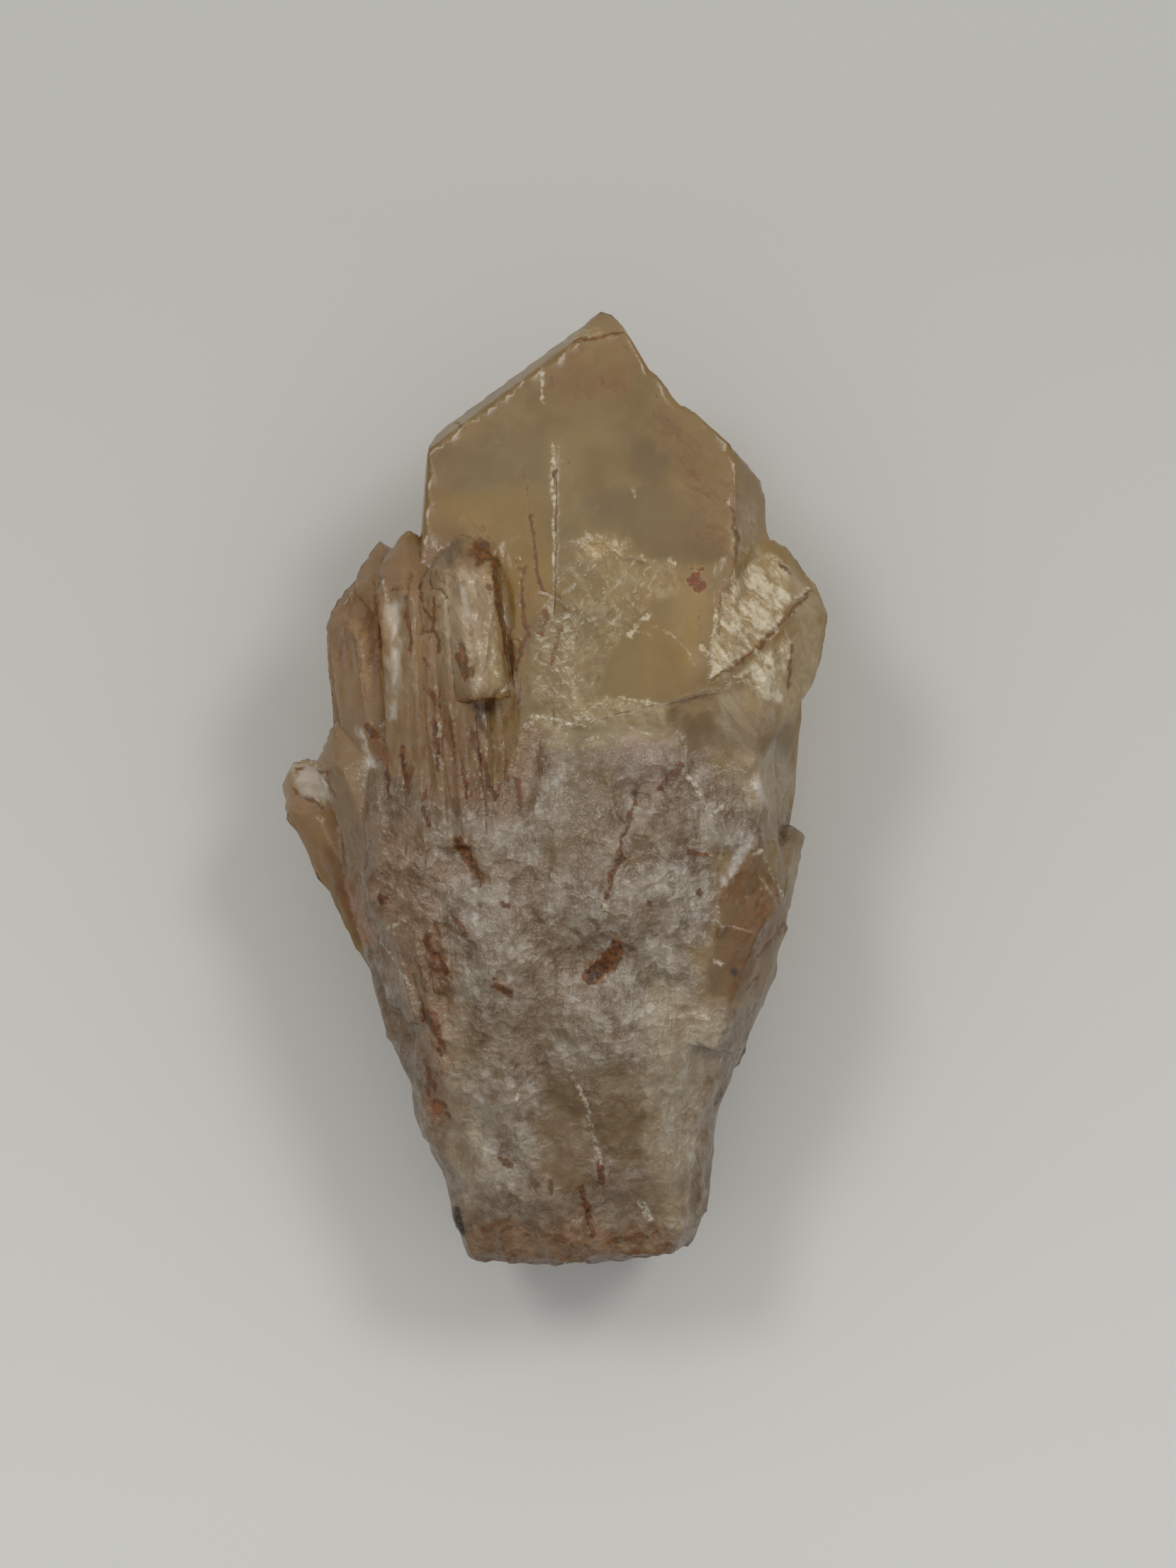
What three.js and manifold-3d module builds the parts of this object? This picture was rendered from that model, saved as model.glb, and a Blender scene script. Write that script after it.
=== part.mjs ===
// Natural citrine specimen: one cluster of quartz crystals grown together on a broken, milky stem.
// Millimetres. +Y runs from the broken base to the tip of the main crystal, +Z is up and the
// cluster lies on its back on z = 0. The origin is under the middle of its bounding box.
import * as THREE from "three";
import { ConvexGeometry } from "three/addons/geometries/ConvexGeometry.js";
import { ImprovedNoise } from "three/addons/math/ImprovedNoise.js";
import { mergeVertices } from "three/addons/utils/BufferGeometryUtils.js";
import Module from "manifold-3d";

const wasm = await Module();
wasm.setup();

// Quartz: a rhombohedral face's normal leans this far from the long axis of its crystal.
const RHOMB_ANGLE = 51.8;
const HEX = [0, 60, 120, 180, 240, 300];

// Main crystal: its front face, its tip and the ends of the faces around them.
const MAIN = {
  apex: [4.7, 47.2, 26.2],
  front: { at: [1.8, 43.9, 29.9], normal: [-0.06, 0.05, 1] },
  left: { at: [-12.9, 26.0, 27.0], normal: [-0.99, 0.072, 0.06] },
  right: { at: [21.2, 25.0, 26.0], normal: [0.873, 0.03, 0.486] },
  frontFoot: { at: [0, 4, 32.1], normal: [0, -0.2, 0.98] },
  foot: { at: [0, -14, 26], normal: [0, -0.86, 0.5] },
  backFoot: { at: [0, -24, 0], normal: [0.1, -0.8, -0.6] },
};

// Broken stem: half widths and heights along Y, from the base end up into the crystals.
const STEM = {
  rings: 34,
  segments: 74,
  squareness: 3.4,
  y: [-46.3, -42, -38, -33, -28, -23, -18, -13, -8, -3, 2, 7, 12],
  left: [-8.8, -9.4, -11.0, -12.9, -14.4, -15.6, -17.8, -19.6, -20.6, -20.6, -19.6, -17.5, -14.0],
  right: [12.8, 14.8, 15.6, 16.2, 17.6, 19.6, 21.6, 22.8, 23.2, 23.0, 22.6, 21.0, 18.0],
  top: [25.0, 26.8, 28.6, 30.0, 31.4, 32.6, 33.6, 34.2, 34.4, 34.2, 33.4, 32.0, 29.0],
  bottom: [7.5, 6.2, 4.8, 3.6, 2.6, 1.9, 1.6, 1.6, 1.8, 2.2, 3.0, 4.5, 7.0],
};

// Broken crystal ends that break the stem's surface, spread over it by the golden angle.
const STUMPS = { count: 48, goldenAngle: 2.39996, spreadAlong: 0.618034, narrowest: 3, widest: 7 };

// A grain of dark mineral grown on the left edge of the base end.
const DARK_GRAIN = { at: [-9.4, -43.4, 17.5], radius: 1.2, stretch: [0.75, 1.4, 1.1] };

// Hollows in the stem's front: centre, radius and depth.
const PITS = [
  { at: [4.7, -16.6], radius: 2.3, depth: 1.3 },
  { at: [-8.3, -16.5], radius: 1.6, depth: 0.8 },
  { at: [-12.0, -5.6], radius: 2.2, depth: 1.0 },
  { at: [8.4, -1.2], radius: 2.6, depth: 1.1 },
  { at: [3.6, -42.0], radius: 1.5, depth: 1.1 },
  { at: [0.5, -30.5], radius: 2.8, depth: 0.9 },
];

const SMALLEST_DETAIL = 0.05;

const CITRINE = { color: 0xa98b5e, roughness: 0.25, metalness: 0 };

const vec = (p) => new THREE.Vector3(...p);

// A face as a plane with its normal outward, through a point.
function face(at, normal) {
  return new THREE.Plane().setFromNormalAndCoplanarPoint(vec(normal).normalize(), vec(at));
}

// The closed convex solid that lies behind all the faces given.
function solidBehind(faces) {
  const corners = [];
  const rows = new THREE.Matrix3();
  for (let i = 0; i < faces.length; i++) {
    for (let j = i + 1; j < faces.length; j++) {
      for (let k = j + 1; k < faces.length; k++) {
        const [a, b, c] = [faces[i], faces[j], faces[k]];
        rows.set(...a.normal.toArray(), ...b.normal.toArray(), ...c.normal.toArray());
        if (Math.abs(rows.determinant()) < 1e-5) continue;
        const p = new THREE.Vector3(-a.constant, -b.constant, -c.constant).applyMatrix3(rows.invert());
        if (faces.some((f) => f.distanceToPoint(p) > 1e-6)) continue;
        if (corners.some((q) => q.distanceTo(p) < 1e-3)) continue;
        corners.push(p);
      }
    }
  }
  return manifoldOf(new ConvexGeometry(corners));
}

function manifoldOf(geometry) {
  geometry.deleteAttribute("normal");
  geometry.deleteAttribute("uv");
  const merged = mergeVertices(geometry, 1e-4);
  const mesh = new wasm.Mesh({
    numProp: 3,
    vertProperties: merged.attributes.position.array,
    triVerts: new Uint32Array(merged.index.array),
  });
  return new wasm.Manifold(mesh);
}

// One quartz crystal: a six-sided prism under six rhombohedral faces. It is drawn with its tip at
// the origin and its long axis along +Y, then leant toward +X, pitched tip up and moved to its tip.
// blunt holds, face by face, how far beyond the tip each rhombohedral face would meet the axis.
function crystal({ tip, lean = 0, pitch = 0, roll = 0, width, depth, length, blunt, flare = 0, cuts = [] }) {
  const faces = [face([0, -length, 0], [0, -1, 0])];
  const rhomb = THREE.MathUtils.degToRad(RHOMB_ANGLE);
  HEX.forEach((turn, k) => {
    const angle = THREE.MathUtils.degToRad(turn + roll);
    const [sx, cz] = [Math.sin(angle), Math.cos(angle)];
    const reach = Math.hypot((width / 2) * sx, (depth / 2) * cz);
    const drop = reach * Math.tan(rhomb);
    faces.push(face([sx * reach, -drop, cz * reach], [sx, -flare, cz]));
    const beyond = blunt?.[k] ?? 0;
    faces.push(face([0, beyond, 0], [sx * Math.sin(rhomb), Math.cos(rhomb), cz * Math.sin(rhomb)]));
  });
  cuts.forEach((c) => faces.push(face(c.at, c.normal)));
  const turnIntoPlace = new THREE.Euler(
    THREE.MathUtils.degToRad(pitch),
    0,
    THREE.MathUtils.degToRad(-lean),
    "ZXY",
  );
  const place = new THREE.Matrix4().makeRotationFromEuler(turnIntoPlace).setPosition(vec(tip));
  return solidBehind(faces.map((f) => f.applyMatrix4(place)));
}

// The main crystal: the tall middle body, the stepped shoulder right of its tip and the low
// growth step that runs down its front face.
function mainCrystal() {
  const { apex, front, left, right, frontFoot, foot, backFoot } = MAIN;
  const frontFace = () => face(front.at, front.normal);
  const sides = () => [
    face(left.at, left.normal),
    face([-13.1, 26, 22], [-0.92, 0.04, -0.39]),
    face([-11.3, 35.4, 27], [-0.87, 0.494, 0.03]),
    face(right.at, right.normal),
    face(right.at, [0.92, 0.03, -0.39]),
    face([0, 0, 0], [0, 0, -1]),
    face(frontFoot.at, frontFoot.normal),
    face(foot.at, foot.normal),
    face(backFoot.at, backFoot.normal),
  ];
  const tip = () => [
    face(apex, [-0.19, 0.79, 0.6]),
    face(apex, [-0.6, 0.8, 0.29]),
    face(apex, [-0.5, 0.72, -0.48]),
    face(apex, [0, 0.72, -0.7]),
    face(apex, [0.66, 0.52, -0.55]),
  ];
  const tall = solidBehind([
    frontFace(),
    ...sides(),
    ...tip(),
    face([7.1, 45.4, 30], [0.87, 0.5, -0.08]),
  ]);
  const stepped = solidBehind([
    frontFace(),
    ...sides(),
    face([9.6, 41.2, 30], [-0.5, 0.87, -0.1]),
    face([10.4, 40.2, 30], [0.78, 0.62, -0.08]),
    face(apex, [0, 0.72, -0.7]),
  ]);
  const shoulder = solidBehind([
    frontFace(),
    ...sides(),
    face([12.2, 37.3, 30], [-0.6, 0.8, -0.1]),
    face([15.0, 35.8, 30], [0.68, 0.733, -0.06]),
    face([19.6, 31.2, 30], [0.87, 0.46, 0.16]),
    face(apex, [0, 0.74, -0.67]),
  ]);
  const step = solidBehind([
    face([4, 34.5, 30.5], [-0.062, 0.078, 1]),
    ...sides(),
    face([0.1, 20, 30], [-1, 0.02, 0.12]),
    face([0, 36, 30], [0.2, 1, 0]),
    face([0, 0, 26], [0, 0, -1]),
    face([15.0, 35.8, 30], [0.68, 0.733, -0.06]),
    face([19.6, 31.2, 30], [0.87, 0.46, 0.16]),
  ]);
  return [tall, stepped, shoulder, step];
}

// Crystals of the left group, from the outermost in, the front pair last.
const LEFT_GROUP = [
  {
    tip: [-17.1, 24.6, 24.5],
    lean: -7,
    pitch: 3,
    roll: 22,
    width: 5.2,
    depth: 9,
    length: 34,
    blunt: [0.4, 0, 0.3, 0, 0.3, 0.4],
  },
  {
    tip: [-19.4, 21.0, 25.5],
    lean: -7,
    pitch: 3,
    roll: 12,
    width: 5.2,
    depth: 9,
    length: 32,
    blunt: [0, 0.6],
  },
  {
    tip: [-20.8, 18.4, 21.5],
    lean: -5,
    pitch: 2,
    roll: 28,
    width: 3.8,
    depth: 8,
    length: 30,
    blunt: [0.6],
  },
  {
    tip: [-14.0, 25.6, 27.5],
    lean: -3,
    roll: 30,
    width: 6.4,
    depth: 12,
    length: 34,
    blunt: [0, 0.2, 0, 0, 0.6, 0.8],
  },
  { tip: [-12.0, 19.2, 30.4], lean: -4, roll: 34, width: 3.4, depth: 7, length: 25, blunt: [0.5] },
  {
    tip: [-10.9, 23.4, 30.8],
    lean: -5,
    pitch: 1,
    roll: 26,
    width: 4.2,
    depth: 8,
    length: 29,
    blunt: [0, 0, 0.4],
  },
  {
    tip: [-8.9, 25.3, 31.8],
    lean: -6,
    roll: 21,
    width: 6.0,
    depth: 7.6,
    length: 16.6,
    blunt: [0, 0.5, 0, 0, 0, 0.6],
  },
];

// Slim columns below the front pair and between the left group and the main crystal.
const COLUMNS = [
  { tip: [-8.0, 14.0, 30.4], lean: -4, pitch: 1, roll: 8, width: 3.6, depth: 5.4, length: 18 },
  { tip: [-5.4, 13.0, 30.2], lean: -3, pitch: 1, roll: 34, width: 3.0, depth: 5.0, length: 16 },
  { tip: [-3.8, 17.8, 29.0], lean: -2, pitch: 1, roll: 20, width: 2.2, depth: 5.0, length: 18 },
  { tip: [-16.6, 8.6, 27.6], lean: -9, pitch: 2, roll: 18, width: 3.4, depth: 6.6, length: 19 },
];

// Two small crystals that splay out low on the left, the outer one with its tip broken off.
const LOWER_LEFT = [
  {
    tip: [-21.5, 7.0, 25.6],
    lean: -20,
    pitch: 2,
    roll: 8,
    width: 5.4,
    depth: 7.5,
    length: 19,
    blunt: [0, 0.4, 0, 0, 0.3],
  },
  {
    tip: [-26.8, 4.3, 20.5],
    lean: -28,
    pitch: 4,
    roll: 20,
    width: 5.0,
    depth: 8,
    length: 24,
    blunt: [1.5, 1.5, 1.5, 1.5, 1.5, 1.5],
    cuts: [
      { at: [0, -4.2, 0], normal: [0.16, 0.76, 0.62] },
      { at: [-1.7, -3.9, 0], normal: [-0.62, 0.74, 0.25] },
    ],
  },
];

// The stout crystal on the right, the raised layer below its diagonal step, the narrow crystal
// under it and the clear ones set in the stem.
const STOUT = {
  tip: [21.1, 24.8, 27.0],
  lean: 7,
  pitch: 5,
  roll: -14,
  width: 11.4,
  depth: 15.4,
  length: 30,
  blunt: [0.3, 1.9, 1.6],
  flare: 0.07,
};
const STOUT_WAIST = { at: [4.7, -16.0, 0], normal: [0.87, -0.5, 0] };
const RIGHT_GROUP = [
  { ...STOUT, cuts: [STOUT_WAIST] },
  {
    ...STOUT,
    tip: [21.1, 24.8, 27.45],
    length: 24,
    cuts: [STOUT_WAIST, { at: [0.65, -9.4, 0], normal: [-0.64, 0.77, 0.3] }],
  },
  { tip: [19.0, 8.5, 28.6], lean: 4, pitch: 5, roll: 12, width: 5.4, depth: 8, length: 21, blunt: [0.5] },
  {
    tip: [20.0, -5.6, 27.6],
    lean: 16,
    pitch: 5,
    roll: 4,
    width: 8.4,
    depth: 12,
    length: 20,
    blunt: [0, 0.6, 0, 0, 0, 0.4],
    flare: 0.05,
  },
  { tip: [24.0, -2.6, 21.0], lean: 12, roll: 10, width: 2.4, depth: 6, length: 10, blunt: [0, 0.3] },
];

// Crystals of the sides and the back. LYING ones have a prism face flat on z = 0.
const LYING = [
  {
    tip: [-15.5, 17.0, 6.2],
    lean: -10,
    width: 11,
    depth: 12.4,
    length: 44,
    blunt: [0, 0, 0, 0.6],
    cuts: [{ at: [0, -34, -6.2], normal: [0.25, -0.72, -0.65] }],
  },
  {
    tip: [19.0, 11.0, 6.6],
    lean: 9,
    width: 11,
    depth: 13.2,
    length: 42,
    blunt: [0, 0.8],
    cuts: [{ at: [0, -31, -6.6], normal: [-0.2, -0.75, -0.63] }],
  },
];
const SIDES = [
  { tip: [-18.4, 12.6, 14.5], lean: -9, roll: 18, width: 8.0, depth: 10, length: 32, blunt: [0, 0, 0.8] },
  { tip: [-20.6, -3.2, 12.6], lean: -22, roll: 6, width: 6.0, depth: 7.6, length: 22, blunt: [0, 0.6] },
  { tip: [20.9, 16.4, 16.6], lean: 6, roll: -10, width: 8.0, depth: 11, length: 32, blunt: [0, 0, 0.7] },
  {
    tip: [-7.4, 29.4, 9.8],
    lean: -6,
    pitch: -3,
    roll: 12,
    width: 8.8,
    depth: 9.0,
    length: 34,
    blunt: [0.5],
  },
  {
    tip: [13.0, 27.4, 9.4],
    lean: 6,
    pitch: -3,
    roll: -14,
    width: 9.4,
    depth: 9.2,
    length: 34,
    blunt: [0, 0, 0.5],
  },
  { tip: [20.4, -6.0, 12.0], lean: 13, roll: 8, width: 5.4, depth: 7.2, length: 22, blunt: [0.3] },
];

// A hand-drawn line of values over STEM.y, read smoothly at any y.
function profile(values) {
  const points = STEM.y.map((y, i) => new THREE.Vector3(y, values[i], 0));
  const curve = new THREE.CatmullRomCurve3(points, false, "centripetal");
  return (t) => curve.getPoint(t).y;
}

const noise = new ImprovedNoise();

// Ridges and ledges that run up the stem, with lumps across it, in millimetres of height.
function roughness(p, round) {
  const [side, up] = [3.6 * Math.cos(round), 3.6 * Math.sin(round)];
  const ridges = 1 - 2 * Math.abs(noise.noise(side + 3.1, p.y * 0.035 + 0.7, up + 7.7));
  const fine = noise.noise(p.x * 0.6 + 9.2, p.y * 0.13 + 4.4, p.z * 0.6);
  const lumps = noise.noise(p.x * 0.14 + 1.7, p.y * 0.14 + 8.3, p.z * 0.14 + 2.9);
  const ledge = Math.round(3 * noise.noise(p.x * 0.2 + 5.5, p.y * 0.06 + 0.4, p.z * 0.2 + 6.1));
  return 0.45 * ridges + 0.5 * fine + 1.1 * lumps + 0.35 * ledge - 0.3;
}

const stemLeft = profile(STEM.left);
const stemRight = profile(STEM.right);
const stemTop = profile(STEM.top);
const stemBottom = profile(STEM.bottom);
const stemAlong = profile(STEM.y);

// A point of the stem's smooth rounded-box section, t along it and round about its axis.
function stemPoint(t, round, shrink = 1) {
  const [side, up] = [Math.cos(round), Math.sin(round)];
  const square = Math.abs(side) ** STEM.squareness + Math.abs(up) ** STEM.squareness;
  const outward = new THREE.Vector3(side, 0, up).multiplyScalar(square ** (-1 / STEM.squareness));
  const half = new THREE.Vector3((stemRight(t) - stemLeft(t)) / 2, 0, (stemTop(t) - stemBottom(t)) / 2);
  const middle = [(stemRight(t) + stemLeft(t)) / 2, stemAlong(t), (stemTop(t) + stemBottom(t)) / 2];
  const point = outward.clone().multiply(half).multiplyScalar(shrink).add(vec(middle));
  return { point, outward: outward.normalize() };
}

// The same point moved by the roughness and by the hollows of the front.
function roughPoint(t, round, shrink = 1) {
  const { point, outward } = stemPoint(t, round, shrink);
  const dent = PITS.reduce((sum, pit) => {
    const away = Math.hypot(point.x - pit.at[0], point.y - pit.at[1]) / pit.radius;
    return sum + (Math.sin(round) > 0 ? pit.depth * Math.exp(-away * away) : 0);
  }, 0);
  return point.addScaledVector(outward, (roughness(point, round) - dent) * shrink);
}

// The broken stem: rough rings along Y, closed by a hackly base end and inside the main crystal.
function stem() {
  const { rings, segments } = STEM;
  const turn = (i) => (2 * Math.PI * i) / segments;
  const rows = [0.3, 0.58, 0.8, 0.94].map((shrink) => {
    const row = [];
    for (let i = 0; i < segments; i++) {
      const p = roughPoint(0, turn(i), shrink);
      const hackly = 0.9 * noise.noise(p.x * 0.35 + 2.2, 3.3, p.z * 0.35 + 1.1);
      p.y -= 0.9 * (1 - shrink ** 4) - hackly - 0.05 * p.x;
      row.push(p);
    }
    return row;
  });
  for (let j = 0; j < rings; j++) {
    const row = [];
    for (let i = 0; i < segments; i++) row.push(roughPoint(j / (rings - 1), turn(i)));
    rows.push(row);
  }
  const centre = (row, shift) => {
    const middle = row.reduce((total, p) => total.add(p), new THREE.Vector3()).divideScalar(row.length);
    middle.y += shift;
    return middle;
  };
  const points = [...rows.flat(), centre(rows[0], -0.3), centre(rows.at(-1), 2)];
  const index = [];
  const at = (row, i) => row * segments + (i % segments);
  for (let i = 0; i < segments; i++) {
    index.push(points.length - 2, at(0, i), at(0, i + 1));
    index.push(points.length - 1, at(rows.length - 1, i + 1), at(rows.length - 1, i));
    for (let row = 0; row < rows.length - 1; row++) {
      index.push(at(row, i), at(row + 1, i), at(row + 1, i + 1));
      index.push(at(row, i), at(row + 1, i + 1), at(row, i + 1));
    }
  }
  return manifoldOf(new THREE.BufferGeometry().setFromPoints(points).setIndex(index));
}

// Short broken crystals sunk in the stem, so that only a low facet and a snapped end stand out.
function stumps() {
  const made = [];
  for (let i = 0; i < STUMPS.count; i++) {
    const round = (i * STUMPS.goldenAngle) % (2 * Math.PI);
    const t = 0.12 + 0.72 * ((i * STUMPS.spreadAlong) % 1);
    const size = STUMPS.narrowest + (STUMPS.widest - STUMPS.narrowest) * ((i * 0.37) % 1);
    const { point, outward } = stemPoint(t, round);
    const tip = point.clone().addScaledVector(outward, -0.56 * size);
    const snapped = { at: [0, 0, 0], normal: [0.5 * Math.sin(i * 7), 0.9, 0.5 * Math.cos(i * 3)] };
    made.push(
      crystal({
        tip: tip.toArray(),
        lean: 15 * Math.cos(round) - 3,
        pitch: 9 * Math.sin(round) + 2 * Math.sin(i * 4),
        roll: 90 - THREE.MathUtils.radToDeg(round) + 12 * Math.sin(i * 5),
        width: size,
        depth: size,
        length: Math.min(1.9 * size, point.y - STEM.y[0] - 1),
        blunt: HEX.map(() => size),
        cuts: [snapped],
      }),
    );
  }
  return made;
}

function darkGrain() {
  const grain = new THREE.DodecahedronGeometry(DARK_GRAIN.radius).scale(...DARK_GRAIN.stretch);
  return manifoldOf(grain.translate(...DARK_GRAIN.at));
}

// Everything joined in one solid, of which the outer skin is kept: gaps sealed inside are filled.
// It is moved so that the origin is under the middle of its bounding box.
function cluster() {
  const crystals = [...LEFT_GROUP, ...COLUMNS, ...LOWER_LEFT, ...RIGHT_GROUP, ...LYING, ...SIDES];
  const solids = [stem(), darkGrain(), ...stumps(), ...mainCrystal(), ...crystals.map(crystal)];
  const floor = solidBehind([
    face([0, 0, 0], [0, 0, -1]),
    face([0, 0, 60], [0, 0, 1]),
    face([-60, 0, 0], [-1, 0, 0]),
    face([60, 0, 0], [1, 0, 0]),
    face([0, -60, 0], [0, -1, 0]),
    face([0, 60, 0], [0, 1, 0]),
  ]);
  const joined = solids.reduce((sum, solid) => sum.add(solid)).intersect(floor);
  const bySize = joined.decompose().sort((a, b) => b.volume() - a.volume());
  const [low, high] = [bySize[0].boundingBox().min, bySize[0].boundingBox().max];
  const middle = [-(low[0] + high[0]) / 2, -(low[1] + high[1]) / 2, 0];
  const mesh = bySize[0].simplify(SMALLEST_DETAIL).translate(middle).getMesh();
  const geometry = new THREE.BufferGeometry();
  geometry.setAttribute("position", new THREE.BufferAttribute(mesh.vertProperties, 3));
  geometry.setIndex(new THREE.BufferAttribute(mesh.triVerts, 1));
  geometry.computeVertexNormals();
  return geometry;
}

const specimen = new THREE.Mesh(cluster(), new THREE.MeshStandardMaterial(CITRINE));
specimen.name = "citrine_cluster";

const group = new THREE.Group();
group.add(specimen);

export default group;
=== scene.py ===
# %% [markdown]
# # Natural citrine specimen
# A handful of smoky yellow quartz crystals that grew together on one milky stem. The stem was
# snapped off its bed at one end, and the whole lies on its back on a pale table. This lesson dresses
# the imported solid: its skin is made finer, the broken stem is roughened, the stains, veils and frost
# are painted on the skin as named layers, and one glass-like material reads them.

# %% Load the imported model
import math
import random

import bmesh
import bpy
import numpy as np
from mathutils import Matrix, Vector, noise
from mathutils.bvhtree import BVHTree


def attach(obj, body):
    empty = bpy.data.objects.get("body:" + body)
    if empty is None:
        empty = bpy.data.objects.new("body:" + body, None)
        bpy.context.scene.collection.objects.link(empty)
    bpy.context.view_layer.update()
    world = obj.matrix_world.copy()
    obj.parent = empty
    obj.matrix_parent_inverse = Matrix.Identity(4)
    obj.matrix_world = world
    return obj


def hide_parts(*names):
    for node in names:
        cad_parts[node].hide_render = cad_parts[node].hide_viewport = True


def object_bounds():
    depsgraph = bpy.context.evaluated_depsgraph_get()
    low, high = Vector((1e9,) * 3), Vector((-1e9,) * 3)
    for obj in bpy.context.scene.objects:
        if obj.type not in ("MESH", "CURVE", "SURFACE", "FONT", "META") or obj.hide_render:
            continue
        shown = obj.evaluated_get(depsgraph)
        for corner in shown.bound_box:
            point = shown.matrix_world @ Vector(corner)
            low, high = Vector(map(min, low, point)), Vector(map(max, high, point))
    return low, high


MM = 0.001
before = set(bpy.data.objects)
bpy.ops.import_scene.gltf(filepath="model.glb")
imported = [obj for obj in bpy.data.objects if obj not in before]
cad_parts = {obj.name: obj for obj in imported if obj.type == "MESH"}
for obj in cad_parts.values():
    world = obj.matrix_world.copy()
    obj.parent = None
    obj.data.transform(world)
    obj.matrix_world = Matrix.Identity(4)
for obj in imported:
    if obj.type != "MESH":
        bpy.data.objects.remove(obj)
cad_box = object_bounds()
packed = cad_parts["citrine_cluster"]
spans = [round(v / MM, 1) for v in cad_box[1] - cad_box[0]]
print("packed solid:", len(packed.data.polygons), "faces, box", spans)

# %% [markdown]
# ## Crystal faces and broken stem
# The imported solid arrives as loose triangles. A copy of it is merged into one closed skin, and flat
# neighbours are joined, so that each crystal face is one face again. Area then tells the two kinds
# of surface apart: grown crystal faces are large, the broken stem is made of small facets.

# %% One closed skin
CRYSTAL_FACE = 2.3  # square millimetres
CRYSTALS_FROM, REACH_UP_TO = 3.5, 7  # heights along Y where the crystals leave the stem
MERGE = 0.002 * MM
FLAT = math.radians(1.0)
skin = bmesh.new()
skin.from_mesh(packed.data)
bmesh.ops.remove_doubles(skin, verts=skin.verts, dist=MERGE)
bmesh.ops.dissolve_limit(skin, angle_limit=FLAT, verts=skin.verts, edges=skin.edges)
grown = skin.faces.layers.int.new("grown")
for face in skin.faces:
    middle = face.calc_center_median() / MM
    low_crystals = middle.x < -18 and middle.y > -13
    clear_crystal = middle.x > 14.5 and -21 < middle.y < -5
    reaches_up = max(v.co.y for v in face.verts) > REACH_UP_TO * MM
    on_crystals = middle.y > CRYSTALS_FROM or reaches_up or low_crystals or clear_crystal
    face[grown] = int(on_crystals and face.calc_area() > CRYSTAL_FACE * MM**2)
print("crystal faces:", sum(f[grown] for f in skin.faces), "of", len(skin.faces))
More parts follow.
